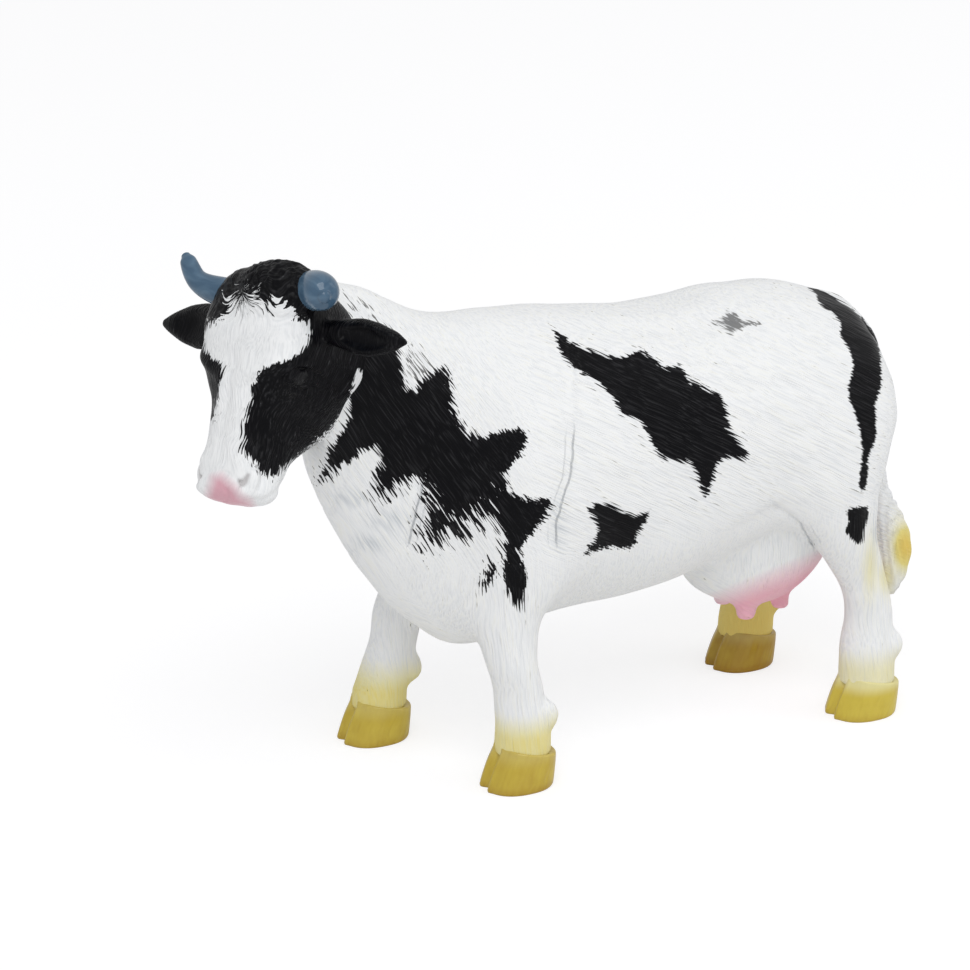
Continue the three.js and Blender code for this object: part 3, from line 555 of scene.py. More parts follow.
# outline, half width of the brushed edge in mm
LEFT_PATCHES = [
    (NECK_PATCH, 0.75),
    (FLANK_PATCH, 0.5),
    (BELLY_PATCH, 0.55),
    (RUMP_BAND, 0.25),
    (THIGH_SPOT, 0.35),
    (LEG_STROKES, 0.35),
]
# The right side isn't in the photograph: patches of the same kind, as (forward, height) in mm
RIGHT_PATCHES = [
    [(112, 104), (126, 100), (130, 84), (122, 70), (112, 62), (104, 66), (98, 52), (90, 44), (88, 60), (80, 66),
     (84, 78), (94, 84), (92, 96), (102, 96)],
    [(72, 98), (62, 103), (48, 98), (38, 88), (30, 76), (36, 70), (48, 74), (54, 62), (62, 66), (72, 76), (78, 88)],
    [(20, 62), (12, 66), (8, 56), (14, 48), (22, 52)],
    [(62, 48), (54, 52), (48, 44), (58, 38), (66, 40)],
]
# The neck patch's lower left is brushed out thin: the pixels between which that fades in and out, and by how much its
# edge is wider there
THIN_LEFT = (408, 428)
THIN_RIGHT = (475, 515)
THIN_TOP = (455, 500)
THIN_LEAST = 0.4
THIN_FACTOR = 3.4
# Distance in mm that stands for far from any patch, and how far out the right side's low patches start
FAR = 20.0
LOW_PATCH_TOP = 64
LOW_PATCH_START = 15
# The black stripe down the rump beside the tail: half width, place, sway and the sway's length in mm, and where along
# and up it starts
STRIPE = (3.5, 5, 4, 7)
STRIPE_REAR = (-14, -6)
STRIPE_FOOT = (56, 62)
GREY_REACH = 3


def paint_hide(points, normals):
    """Black: mm inside the nearest patch. Edge: half width of its brushed edge. Grey: mm inside the grey spot. The left
    set is read through the lens and the right set straight from the side, and they change over where the surface turns
    away from the lens."""
    across, down = seen_at(points)
    x, y, z = points.T
    turned = facing(points, normals)
    left, right = np.full((2, len(points)), -FAR)
    edge = np.ones(len(points))
    for outline, width in LEFT_PATCHES:
        inside = in_outline(across, down, outline) * PIXEL
        edge = np.where(inside > left, width, edge)
        left = np.maximum(left, inside)
    thin = falling(across, *THIN_RIGHT) * ramp(down, *THIN_TOP)
    thin = thin * (THIN_LEAST + (1 - THIN_LEAST) * ramp(across, *THIN_LEFT))
    for outline in RIGHT_PATCHES:
        right = np.maximum(right, in_outline(-x, z, outline))
    right = np.where(y > np.where(z < LOW_PATCH_TOP, LOW_PATCH_START, 0), right, -FAR)
    half, place, sway, length = STRIPE
    stripe = half - np.abs(y + place + sway * np.sin(z / length))
    right = np.maximum(right, np.where(ramp(x, *STRIPE_REAR) * ramp(z, *STRIPE_FOOT) > 0.5, stripe, -FAR))
    grey = np.clip(in_outline(across, down, GREY_SPOT) * PIXEL, -GREY_REACH, GREY_REACH)
    return right + (left - right) * turned, edge * (1 + THIN_FACTOR * thin), np.where(turned > 0.5, grey, -GREY_REACH)


# Grey spots of painted shade in the folds of the chest, behind the shoulder and between the tail and the thigh:
# middle and half sizes in pixels
FOLD_SHADE_SPOTS = [[352, 498, 16, 8], [392, 520, 20, 10], [368, 545, 18, 8], [560, 520, 8, 30], [876, 530, 6, 26]]
FOLD_SHADE_STRENGTH = 0.7
# Fine creases before and behind the shoulder and before the thigh, drawn as dark lines of painted shade: corners, the
# side of its way where a fainter second line runs (1 right, -1 left), and the pixels down between which it shows
CREASES = [
    ([(430, 462), (427, 470), (420, 500), (408, 545)], 1, (470, 545)),
    ([(575, 425), (574, 450), (571, 476), (562, 504), (556, 525), (557, 548)], -1, (430, 545)),
    ([(776, 507), (787, 512), (800, 523), (812, 543), (815, 555)], 1, (522, 550)),
]
CREASE_BORDERS = (495, 665)
CREASE_FADES = (14, 8)
CREASE_REACH = 5
# Where the coat's strands turn to the neck's and the legs' direction: forward or sideways, and up
NECK_FLOW = ((92, 112), (40, 52))
LEG_FLOW = ((8, 14), (46, 62))
# The neck's crest, where black was brushed on dry: its outline, and the pixel across where it ends
NECK_CREST = [
    (338, 288), (362, 300), (392, 325), (420, 350), (440, 372), (420, 388), (404, 374), (398, 345), (380, 330),
    (350, 320),
]
NECK_CREST_END = 500
CREST_BAND = (-3, 3)
# How dry black is brushed on round every patch, and the mm outside it over which that fades
DRY_ROUND = 0.3
DRY_BAND = (-5, -1)
UNDER_UDDER = -6
# Pink on the udder: from so many pixels above a line of the photograph, over so many, and on the teats below these
# heights. Inside the thighs it is fainter, round this place and over these distances along, across and up
UDDER_BAND = (-0.5, 1.5)
PINK_LINE = [(720, 592), (797, 560)]
PINK_RISE = 4
PINK_FADE = 26
TEAT_TOPS = (21, 28)
INNER_THIGH = (-12, 11, 41)
INNER_BANDS = [(6, 12), (2, 7), (4, 12)]
INNER_PINK = 0.5
# Yellow sprayed on the tail's brush and the leg beside it: middle and half sizes in pixels, strength
YELLOWS = [[905, 547, 12, 22, 1.9], [869, 567, 8, 30, 0.75], [886, 576, 9, 18, 0.7], [899, 522, 8, 12, 0.35]]
YELLOW_REAR = (-24, -8)
YELLOW_TOP = (60, 66)
LEG_BAND = (0.3, 1.5)
# Yellow above each hoof: full below the first height, gone above the second, strength
PASTERNS = dict(
    front_left=(12, 20, 0.9), front_right=(12, 22, 0.95), hind_left=(11, 19, 0.6), hind_right=(12, 36, 1.6)
)

black, edge, grey = paint_hide(hide_points, hide_normals)
x, y, z = hide_points.T
across, down = seen_at(hide_points)
(x0, y0), (x1, y1) = PINK_LINE
udder_top = y0 + (across - x0) * (y1 - y0) / (x1 - x0)
on_udder = falling(hide_field.sample(fields["udder"], hide_points), *UDDER_BAND)
pink = on_udder * np.clip((down - udder_top + PINK_RISE) / PINK_FADE, 0, 1)
pink = np.maximum(pink, on_udder * falling(z, *TEAT_TOPS))
apart = np.abs([x, np.abs(y), z] - np.array(INNER_THIGH)[:, None])
inner = np.prod([falling(away, *band) for away, band in zip(apart, INNER_BANDS)], axis=0)
pink = np.maximum(pink, INNER_PINK * inner * falling(on_udder, 0, 0.5))
gold = np.zeros(len(z))
for name, (low, high, strength) in PASTERNS.items():
    on_leg = falling(hide_field.sample(fields[name + "_leg"], hide_points), *LEG_BAND)
    gold = np.maximum(gold, strength * on_leg * falling(z, low, high))
for *spot, strength in YELLOWS:
    sprayed = strength * blot(across, down, *spot) * ramp(x, *YELLOW_REAR) * falling(z, *YELLOW_TOP)
    gold = np.maximum(gold, sprayed)
# Painted shade in the folds of the chest, behind the shoulder and between the tail and the thigh
fold_shade = np.maximum.reduce([0 * z] + [FOLD_SHADE_STRENGTH * blot(across, down, *spot) for spot in FOLD_SHADE_SPOTS])
neck_flow = ramp(-x, *NECK_FLOW[0]) * ramp(z, *NECK_FLOW[1])
leg_flow = falling(z, *LEG_FLOW[1]) * ramp(np.abs(y), *LEG_FLOW[0])

seen = seen_at(hide_points * leftward)
turned = facing(hide_points * leftward, hide_normals * leftward)
which = np.where(seen[0] < CREASE_BORDERS[0], 0, np.where(seen[0] > CREASE_BORDERS[1], 2, 1))
crease = np.choose(which, [side * beside_line(*seen, line) * PIXEL for line, side, _ in CREASES])
crease = np.where(crease < 0, -1, 1) * np.clip(np.maximum(np.abs(crease), CREASE_REACH * (1 - turned)), 0, CREASE_REACH)
fade_in, fade_out = CREASE_FADES
spans = [ramp(seen[1], top - fade_in, top + fade_in) * falling(seen[1], low - fade_out, low + fade_out)
         for _, _, (top, low) in CREASES]
shown = np.choose(which, spans) * turned
dry = turned * ramp(in_outline(*seen, NECK_CREST) * PIXEL, *CREST_BAND) * (across < NECK_CREST_END)
dry = np.maximum(dry, DRY_ROUND * ramp(black, *DRY_BAND))
black = np.where((on_udder > 0.1) & (turned < 0.5), UNDER_UDDER, black)
hide_marks = dict(black=black, edge=edge, grey=grey, pink=pink, gold=gold, fold_shade=fold_shade, crease=crease, shown=shown,
                  dry=dry, neck_flow=neck_flow, leg_flow=leg_flow)
unraised = hide_points - hide_rise[:, None] * hide_normals
hide_distances = {name: hide_field.sample(cells, unraised) for name, cells in fields.items()}


def split(table, faces, side):
    """Cut triangles where side changes sign. Gives the table with the cut's points added, the faces on the negative
    side and the rest: a crossed face becomes a tip and a two-triangle remainder."""
    below = side[faces] < 0
    count = below.sum(1)
    mixed, signs = faces[(count == 1) | (count == 2)], below[(count == 1) | (count == 2)]
    odd = np.where(signs[:, 0] == signs[:, 1], 2, np.where(signs[:, 0] == signs[:, 2], 1, 0))
    a, b, c = np.take_along_axis(mixed, (odd[:, None] + np.arange(3)) % 3, 1).T
    pairs = np.sort(np.concatenate([np.stack([a, b], 1), np.stack([a, c], 1)]), 1)
    code, inverse = np.unique(pairs[:, 0] * len(table) + pairs[:, 1], return_inverse=True)
    low, high = code // len(table), code % len(table)
    t = (side[low] / (side[low] - side[high]))[:, None]
    ab, ac = (len(table) + inverse).reshape(2, -1)
    table = np.concatenate([table, table[low] * (1 - t) + table[high] * t])
    tip = np.stack([a, ab, ac], 1)
    rest = np.concatenate([np.stack([ab, b, c], 1), np.stack([ab, c, ac], 1)])
    tip_below = side[a] < 0
    rest_below = np.concatenate([~tip_below, ~tip_below])
    kept = np.concatenate([faces[count == 3], tip[tip_below], rest[rest_below]])
    others = np.concatenate([faces[count == 0], tip[~tip_below], rest[~rest_below]])
    return table, kept, others


def open_edges(faces, size):
    """Edges that only one face has, in that face's direction."""
    edges = np.concatenate([faces[:, [0, 1]], faces[:, [1, 2]], faces[:, [2, 0]]])
    lonely = ~np.isin(edges[:, 0] * size + edges[:, 1], edges[:, 1] * size + edges[:, 0])
    return edges[lonely].T


def close(table, faces):
    """Fill each open loop with a fan round its middle. Loops are told apart by passing the least number on along
    each loop, twice as far every time."""
    size = len(table)
    start, end = open_edges(faces, size)
    follows, label = np.arange(size), np.arange(size)
    follows[start] = end
    for _ in range(20):
        label = np.minimum(label, label[follows])
        follows = follows[follows]
    loops, which = np.unique(label[start], return_inverse=True)
    weight = np.bincount(which)
    middles = np.stack([np.bincount(which, table[start, k]) / weight for k in range(table.shape[1])], 1)
    fans = np.stack([end, start, size + which], 1)
    return np.concatenate([table, middles]), np.concatenate([faces, fans])


def used_only(table, faces):
    """The table's rows that faces use, and the faces renumbered."""
    rows, inverse = np.unique(faces, return_inverse=True)
    return table[rows], inverse.reshape(-1, 3)


def make_piece(name, points, faces, material, normals=None, attributes=()):
    """A piece from points in mm and triangles, in the CAD node's place. Attributes are (name, values) pairs."""
    mesh = bpy.data.meshes.new(name)
    mesh.vertices.add(len(points))
    mesh.vertices.foreach_set("co", ((points + PLACE) * TO_METRES).astype(np.float32).ravel())
    mesh.loops.add(faces.size)
    mesh.loops.foreach_set("vertex_index", faces.astype(np.int32).ravel())
    mesh.polygons.add(len(faces))
    mesh.polygons.foreach_set("loop_start", np.arange(0, faces.size, 3, dtype=np.int32))
    mesh.update(calc_edges=True)
    mesh.shade_smooth()
    for title, values in attributes:
        kind, field = ("FLOAT", "value") if values.size == len(points) else ("FLOAT_VECTOR", "vector")
        layer = mesh.attributes.new(title, kind, "POINT")
        layer.data.foreach_set(field, values.astype(np.float32).ravel())
    if normals is not None:
        mesh.normals_split_custom_set_from_vertices(normals.astype(np.float32))
    mesh.materials.append(material)
    piece = bpy.data.objects.new(name + ".dressed", mesh)
    bpy.context.scene.collection.objects.link(piece)
    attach(piece, "root")
    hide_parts(name)
    return piece


def cut_skin(points, normals, faces, marks, distances, material):
    """Cut a skin into its pieces. A piece takes the triangles where its own distance is less than all the others', and
    the first piece takes what is left. Marks and distances are values at the points, by name."""
    blocks = {"place": points, "normal": normals} | marks | distances
    sizes = [block.size // len(points) for block in blocks.values()]
    columns = {title: slice(end - size, end) for title, size, end in zip(blocks, sizes, np.cumsum(sizes))}
    table = np.column_stack(list(blocks.values()))
    names = list(distances)
    for index in [*range(1, len(names)), 0]:
        piece_faces = faces
        if index:
            apart = table[:, -len(names):]
            side = apart[:, index] - np.delete(apart, index, axis=1).min(1)
            table, piece_faces, faces = split(table, faces, side)
        rows, piece_faces = close(*used_only(table, piece_faces))
        attributes = [(title, rows[:, columns[title]]) for title in marks]
        name = names[index]
        make_piece(name, rows[:, :3], piece_faces, material, rows[:, 3:6], attributes)


class Value:
    """A shader socket in sums: an expression on values adds its Math nodes."""

    def __init__(self, tree, socket):
        self.tree, self.socket = tree, socket

    def math(self, operation, *others):
        node = self.tree.nodes.new("ShaderNodeMath")
        node.operation = operation
        for slot, value in zip(node.inputs, (self,) + others):
            join(self.tree, value, slot)
        return Value(self.tree, node.outputs[0])

    def __add__(self, other):
        return self.math("ADD", other)

    def __mul__(self, other):
        return self.math("MULTIPLY", other)

    def __sub__(self, other):
        return self.math("SUBTRACT", other)

    def __rsub__(self, other):
        return (self * -1) + other

    __radd__ = __add__
    __rmul__ = __mul__

    def most(self, other):
        return self.math("MAXIMUM", other)

    def clip(self):
        """The value, held between 0 and 1."""
        clipped = self + 0.0
        clipped.socket.node.use_clamp = True
        return clipped

    def step(self, low, high):
        """0 below low, 1 above high, straight between them."""
        return ((self - low) * (1 / (high - low))).clip()


def join(tree, value, socket):
    """Link a Value to a socket, or set the socket to a number, colour or vector."""
    if isinstance(value, Value):
        tree.links.new(value.socket, socket)
    else:
        socket.default_value = value


class Paint:
    """A material and the nodes it is made of."""

    def __init__(self, name):
        self.material = bpy.data.materials.new(name)
        self.material.use_nodes = True
        self.tree = self.material.node_tree
        self.shader = self.tree.nodes["Principled BSDF"]
        self.place = self.node("ShaderNodeTexCoord", output="Object")

    def node(self, kind, settings=None, *values, output=0, **sockets):
        """A node's output, from the node's settings and the values or links of its sockets, in order or by name."""
        node = self.tree.nodes.new(kind)
        for key, setting in (settings or {}).items():
            setattr(node, key, setting)
        for slot, value in zip(node.inputs, values):
            join(self.tree, value, slot)
        for key, value in sockets.items():
            join(self.tree, value, node.inputs[key.replace("_", " ")])
        return Value(self.tree, node.outputs[output])

    def attribute(self, name, output="Fac"):
        return self.node("ShaderNodeAttribute", {"attribute_name": name}, output=output)

    def along(self, axis):
        """How far each point lies along an axis, in the axis's own length."""
        return self.node("ShaderNodeVectorMath", {"operation": "DOT_PRODUCT"}, self.place, axis, output="Value")

    def noise(self, where, scale, detail=2.0, roughness=0.5):
        return self.node("ShaderNodeTexNoise", Vector=where, Scale=scale, Detail=detail, Roughness=roughness)

    def mix(self, share, a, b):
        """Colour a where share is 0, b where it is 1. The Mix node's colours are its sockets 6, 7 and, out, 2."""
        mixed = self.node("ShaderNodeMix", {"data_type": "RGBA"}, share, output=2)
        join(self.tree, a, mixed.socket.node.inputs[6])
        join(self.tree, b, mixed.socket.node.inputs[7])
        return mixed

    def furrows(self, axis, pitch, length, sway=0.35, deep=1.0):
        """Height 0 to 1 of short strands along an axis: noise over a place stretched along it and bent a little.
        Deep stretches it into the side too, so that a slanting side doesn't cut the strands short."""
        axis = Vector(axis).normalized()
        beside = axis.cross((0, 1, 0) if abs(axis.y) < 0.9 else (1, 0, 0)).normalized()
        bend = (self.noise(self.place, BEND_SCALE, 1.0) - 0.5) * (sway * BEND_REACH)
        wide, high = self.along(beside / pitch), self.along(axis.cross(beside) / (pitch * deep))
        along = self.along(axis / length)
        return self.strands(self.node("ShaderNodeCombineXYZ", None, along, wide + bend, high + bend))

    def strands(self, where):
        """Height 0 to 1 of strands in a place that is stretched along them."""
        return ((self.noise(where, 1.0, 1.0, 0.4) - 0.5) * 1.5 + 0.5).clip()

    def finish(self, colour, roughness, height=None, lift=0.0002, strength=1.0, **others):
        """Feed the shader. Height is pressed into the surface, lift metres deep; others are sockets by name."""
        sockets = dict(Base_Color=colour, Roughness=roughness, Specular_IOR_Level=SATIN) | others
        if height is not None:
            sockets["Normal"] = self.node("ShaderNodeBump", Height=height, Distance=lift, Strength=strength)
        for key, value in sockets.items():
            join(self.tree, value, self.shader.inputs[key.replace("_", " ")])
        return self.material


WHITE = (0.88, 0.89, 0.90, 1)
SHADE = (0.60, 0.63, 0.66, 1)
BLACK = (0.002, 0.002, 0.003, 1)
# Painted highlight on the tips of black strands
BLACK_HIGHLIGHT = (0.018, 0.018, 0.020, 1)
PINK = (0.86, 0.36, 0.47, 1)
NOSE = (0.66, 0.25, 0.33, 1)
GOLD = (0.76, 0.67, 0.17, 1)
OCHRE = (0.72, 0.50, 0.01, 1)
SATIN = 0.1
BEND_SCALE = 130.0
BEND_REACH = 8
# Strands of the coat in metres: their pitch, and for each part of the body their axis, length and stretch into the side
STRAND_PITCH = 0.00034
COAT_FLOWS = dict(
    body=((0.857, 0, -0.515), 0.009, 4.0),
    neck=((0.5, 0, -0.866), 0.0085, 4.0),
    leg=((0.07, 0, -1), 0.009, 2.5),
)
# How far strands push the edge of black to and fro, in half widths of that edge, and the mm over which it sets in
BRUSHING = 5.0
BLACK_EDGE = (-0.15, 0.2)
# Heights of the strands where their hollows get painted shade, where black gets a painted highlight on their tips, and
# where dry or grey paint and the painted shade of the folds sit
HOLLOWS = (0.55, 0.2)
HIGHLIGHT_TIPS = (0.55, 0.85)
DRY_TIPS = (0.92, 1.0)
FOLD_SHADE_HOLLOWS = (0.75, 0.3)
GREY_MIDDLE = 0.45
GREY_BRUSHING = 3.0
GREY_BAND = (0.0, 0.8)
GREY_STRENGTH = 0.75
DRY_REACH = 0.4
DRY_STRENGTH = 0.8
HOLLOW_SHADE = 0.3
# A crease: how far it wobbles and how sharp it is per mm; its second line: mm beside it, sharpness and strength
WOBBLE = 1.1
CREASE_SHARPNESS = 3.2
SECOND_CREASE = (1.7, 4.5, 0.45)
CREASE_DEPTH = 1.6
CREASE_SHADE = 0.85
WOBBLE_SCALE = 300.0
BREAK_SCALE = 90.0
BREAK_BAND = (0.35, 0.55)
# Yellow: how far strands break it up, its strength, and the amounts over which it turns to ochre
GOLD_BRUSHING = 0.25
GOLD_STRENGTH = 0.85
OCHRE_BAND = (0.7, 1.8)
VINYL_ROUGHNESS = 0.45
BLACK_ROUGHNESS = 0.37
COAT_LIFT = 0.00024

coat = Paint("coat")
flows = {name: coat.furrows(axis, STRAND_PITCH, length, deep=deep) for name, (axis, length, deep) in COAT_FLOWS.items()}
strands = flows["body"] + (flows["neck"] - flows["body"]) * coat.attribute("neck_flow")
strands = strands + (flows["leg"] - strands) * coat.attribute("leg_flow")
patch = coat.attribute("black") + (strands - 0.5) * coat.attribute("edge") * BRUSHING
greyed = (coat.attribute("grey") + (strands - GREY_MIDDLE) * GREY_BRUSHING).step(*GREY_BAND) * GREY_STRENGTH
brushed_dry = (strands + coat.attribute("dry") * DRY_REACH).step(*DRY_TIPS) * DRY_STRENGTH
painted = patch.step(*BLACK_EDGE).most(greyed).most(brushed_dry)
aside, sharpness, strength = SECOND_CREASE
beside_crease = coat.attribute("crease") + (coat.noise(coat.place, WOBBLE_SCALE) - 0.5) * WOBBLE
first = 1 - (beside_crease.math("ABSOLUTE") * CREASE_SHARPNESS).clip()
second = 1 - ((beside_crease - aside).math("ABSOLUTE") * sharpness).clip()
broken = coat.noise(coat.place, BREAK_SCALE, 1.0).step(*BREAK_BAND)
# The creases' dark lines are painted shade; the same lines are also pressed in as relief in the bump below
creased = first.most(second * broken * strength) * coat.attribute("shown")
fold_shaded = coat.attribute("fold_shade") * strands.step(*FOLD_SHADE_HOLLOWS)
# Painted shade: the white turns to SHADE in the strands' hollows, in the folds and along the creases
painted_shade = (strands.step(*HOLLOWS) * HOLLOW_SHADE + fold_shaded + creased * CREASE_SHADE).clip()
pinked = coat.mix(coat.attribute("pink"), coat.mix(painted_shade, WHITE, SHADE), PINK)
yellow = coat.attribute("gold") + (strands - 0.5) * GOLD_BRUSHING
gilded = coat.mix(yellow.clip() * GOLD_STRENGTH, pinked, coat.mix(yellow.step(*OCHRE_BAND), GOLD, OCHRE))
# Black paint, with a painted highlight on the tips of its strands
colour = coat.mix(painted, gilded, coat.mix(strands.step(*HIGHLIGHT_TIPS), BLACK, BLACK_HIGHLIGHT))
roughness = painted * (BLACK_ROUGHNESS - VINYL_ROUGHNESS) + VINYL_ROUGHNESS
coat_material = coat.finish(colour, roughness, strands - creased * CREASE_DEPTH, COAT_LIFT, 0.8)
cut_skin(hide_points, hide_normals, hide_faces, hide_marks, hide_distances, coat_material)

# The head: its own hollow vinyl casting, pressed over the neck, with a curly tuft, brows, lidded eyes, nostrils and a
# mouth line. The ears are solid leaves whose roots are plugged in behind the horns. All are worked out in the head's
# own frame (poll at the origin, muzzle towards -X, forehead towards +Z), melted, painted and cut like the coat.
HEAD_PLACE = np.array([-150.44, -1.0, 117.48])
HEAD_TURNS = dict(tilt=-19.0, nod=-62.3, turn=38.5)
HEAD_CELL = 0.38
HEAD_LOW = np.array([-50.0, -42.0, -38.0])
HEAD_HIGH = np.array([14.0, 42.0, 22.0])
HEAD_LENGTH = 52.0
HEAD_HALF_WIDTH = 16.0
HEAD_DEPTH = 25.0
POLL_SHARE = 0.12
HEAD_CORNER_POWER = 0.75
# place from the top of the head to the muzzle, half width, reach to the forehead, reach to the jaw
HEAD_SHARES = [
    [0.0, 0.32, 0.16, 0.18],
    [0.04, 0.6, 0.27, 0.4],
    [0.12, 0.84, 0.34, 0.68],
    [0.25, 0.95, 0.35, 1.17],
    [0.38, 0.91, 0.33, 1.4],
    [0.5, 0.73, 0.3, 1.27],
    [0.6, 0.61, 0.27, 0.97],
    [0.7, 0.55, 0.25, 0.65],
    [0.79, 0.54, 0.24, 0.45],
    [0.88, 0.55, 0.24, 0.36],
    [0.95, 0.52, 0.22, 0.3],
    [0.985, 0.42, 0.17, 0.23],
    [1.0, 0.26, 0.1, 0.14],
]
SKULL_RINGS = 130
SKULL_AROUND = 120
TUFT_HALVES = np.array([6.6, 10.2, 6.0])
TUFT_MIDDLE = np.array([-0.3, -5.4, 3.7])
TUFT_MELT = 2.2
LOCK_COUNT = 230
LOCK_LENGTH = 4.2
LOCK_RADIUS = 0.85
LOCK_SPREAD = 1.25
LOCK_ROUTE = ((-0.3, 0.1, -0.1), (0.1, -0.12, 0.06), (0.45, 0.1, 0.1), (0.6, 0.5, 0.05))
LOCK_SIZE_SHARES = [[0, 0.5, 0.5], [0.3, 1, 1], [0.7, 0.8, 0.8], [1, 0.3, 0.3]]
LOCK_MELT = 0.5
GOLDEN_ANGLE = 2.39996
# The eye and the nostril of the side that the photograph shows, in its pixels
EYE_PIXEL = (304, 377)
NOSTRIL_PIXELS = [(238, 485), (242, 483), (246, 479), (248, 473)]
EYE_RADIUS = 2.6
EYE_SUNK = 1.9
EYE_MELT = 0.3
LID_HALVES = (3.3, 2.5)
LID_RISE = 1.5
LID_RADIUS = 0.7
LID_MELT = 1.1
NOSTRIL_RADIUS = 0.75
NOSTRIL_SIZE_SHARES = [[0, 1.4, 1.4], [0.4, 1, 1], [1, 0.5, 0.5]]
NOSTRIL_ROUNDING = 0.5
MOUTH_SHARES = (0.975, 0.74)
MOUTH_DEGREES = 66.0
MOUTH_GROOVE = 0.75
MOUTH_SIZE_SHARES = [[0, 0.3, 0.3], [0.2, 1, 1], [0.8, 1, 1], [1, 0.3, 0.3]]
MOUTH_ROUNDING = 0.6
EAR_LENGTH = 26.0
EAR_THICKNESS = 4.6
EAR_WIDTHS = dict(left=8.0, right=10.5)
EAR_ROOT = np.array([-7.28, 12.96, -3.75])
EAR_ROUTES = dict(
    left=[[0.05, 0.0, 0.0], [0.03, 0.33, -0.02], [0.0, 0.68, -0.03], [-0.01, 1.01, 0.0]],
    right=[[0.0, 0.0, 0.0], [0.02, 0.3, -0.02], [0.03, 0.64, -0.03], [0.03, 0.96, 0.0]],
)
EAR_SIZE_SHARES = [[0.0, 0.9, 0.5], [0.2, 0.95, 0.75], [0.5, 0.95, 1.0], [0.78, 0.7, 0.7], [1.0, 0.2, 0.14]]
EAR_RINGS = 80
EAR_CUP_SHARES = (0.3, 0.93)
EAR_CUP_WIDTHS = [0.72, 1, 0.9]
EAR_CUP_MOVE = [-0.7, 0, EAR_THICKNESS / 2 - 0.1]
EAR_CUP_ROUNDING = 0.5
EAR_MELT = 1.6


def turned_axes(tilt, nod, turn):
    """The columns of a turn by tilt about X, then nod about Y, then turn about Z, in degrees."""
    a, b, c = np.radians([tilt, nod, turn])
    about_x = np.array([[1, 0, 0], [0, np.cos(a), -np.sin(a)], [0, np.sin(a), np.cos(a)]])
    about_y = np.array([[np.cos(b), 0, np.sin(b)], [0, 1, 0], [-np.sin(b), 0, np.cos(b)]])
    about_z = np.array([[np.cos(c), -np.sin(c), 0], [np.sin(c), np.cos(c), 0], [0, 0, 1]])
    return about_z @ about_y @ about_x


HEAD_AXES = turned_axes(**HEAD_TURNS)


def from_head(points):
    """Points of the head's frame in the trunk's frame."""
    return points @ HEAD_AXES.T + HEAD_PLACE


def skull_point(share, degrees):
    """A point on the skull: the angle is 0 at the right side and 90 degrees at the forehead."""
    _, wide, up, down = rows_at(HEAD_SHARES, [share])[0]
    c, s = squared(np.radians(degrees), HEAD_CORNER_POWER)
    reach = (up if s > 0 else down) * HEAD_DEPTH
    return np.array([(POLL_SHARE - share) * HEAD_LENGTH, wide * HEAD_HALF_WIDTH * c, reach * s])


def skull_normal(share, degrees):
    """The direction straight out of the skull, from two short steps along its skin."""
    here = skull_point(share, degrees)
    out = np.cross(skull_point(share, degrees + 8) - here, skull_point(share + 0.02, degrees) - here)
    out /= np.linalg.norm(out)
    return out * np.sign(out[1:] @ here[1:])


def carve(a, b, reach):
    """Field a with b cut out of it, its edges rounded within reach."""
    return -melt(-a, b, reach)


skull_steps = cosine_steps(SKULL_RINGS)
_, wide, up, down = rows_at(HEAD_SHARES, skull_steps).T
spine = np.outer(POLL_SHARE - skull_steps, [HEAD_LENGTH, 0, 0])
wide, up, down = wide * HEAD_HALF_WIDTH, up * HEAD_DEPTH, down * HEAD_DEPTH
skull = rings(spine, ACROSS, UPRIGHT, wide, up, down, SKULL_AROUND, HEAD_CORNER_POWER)
head_field = Field(HEAD_LOW, HEAD_HIGH, HEAD_CELL)
head = melt(head_field.distance(skull), head_field.distance(egg(TUFT_MIDDLE, TUFT_HALVES, 50, 60)), TUFT_MELT)


def lock(number):
    """A curl of the tuft: a tapered tube that starts on the tuft, runs down it and hooks to one side. Its place is a
    step of the golden angle round the tuft's top, and its hook and its size are sines of its number."""
    height = 1 - LOCK_SPREAD * (number + 0.5) / LOCK_COUNT
    around = number * GOLDEN_ANGLE
    out = np.array([np.sqrt(1 - height**2) * np.cos(around), np.sqrt(1 - height**2) * np.sin(around), height])
    normal = out / TUFT_HALVES
    normal /= np.linalg.norm(normal)
    along = np.cross(normal, np.cross([-0.8, 0.9 * out[1], -0.7], normal))
    along /= np.linalg.norm(along)
    beside = np.cross(normal, along)
    hook = 0.75 * np.sin(2.1 * number) + 0.35 * np.sin(0.37 * number)
    size = LOCK_LENGTH * (0.8 + 0.3 * np.sin(1.3 * number))
    start = TUFT_MIDDLE + out * TUFT_HALVES
    route = [start + size * (a * along + hook * b * beside + c * normal) for a, b, c in LOCK_ROUTE]
    return tube(route, LOCK_SIZE_SHARES, LOCK_RADIUS, LOCK_RADIUS, 14, 10, hint=normal)


head = melt(head, head_field.distance(*[lock(number) for number in range(LOCK_COUNT)]), LOCK_MELT)


def skull_place(pixel):
    """The share and the degrees of the point of the skull that the photograph shows at a pixel: of the points that
    face the lens, the one that it sees nearest to the pixel."""
    skin = skull.reshape(-1, 3)
    out = np.cross(np.gradient(skull, axis=1), np.gradient(skull, axis=0)).reshape(-1, 3)
    out *= np.where((out * (skin - [-20, 0, 0])).sum(1) > 0, 1, -1)[:, None]
    placed = from_head(skin)
    hidden = ((LENS_PLACE - placed) * (out @ HEAD_AXES.T)).sum(1) < 0
    across, down = seen_at(placed)
    best = np.argmin((across - pixel[0]) ** 2 + (down - pixel[1]) ** 2 + 1e6 * hidden)
    return skull_steps[best // SKULL_AROUND], 360 * (best % SKULL_AROUND) / SKULL_AROUND


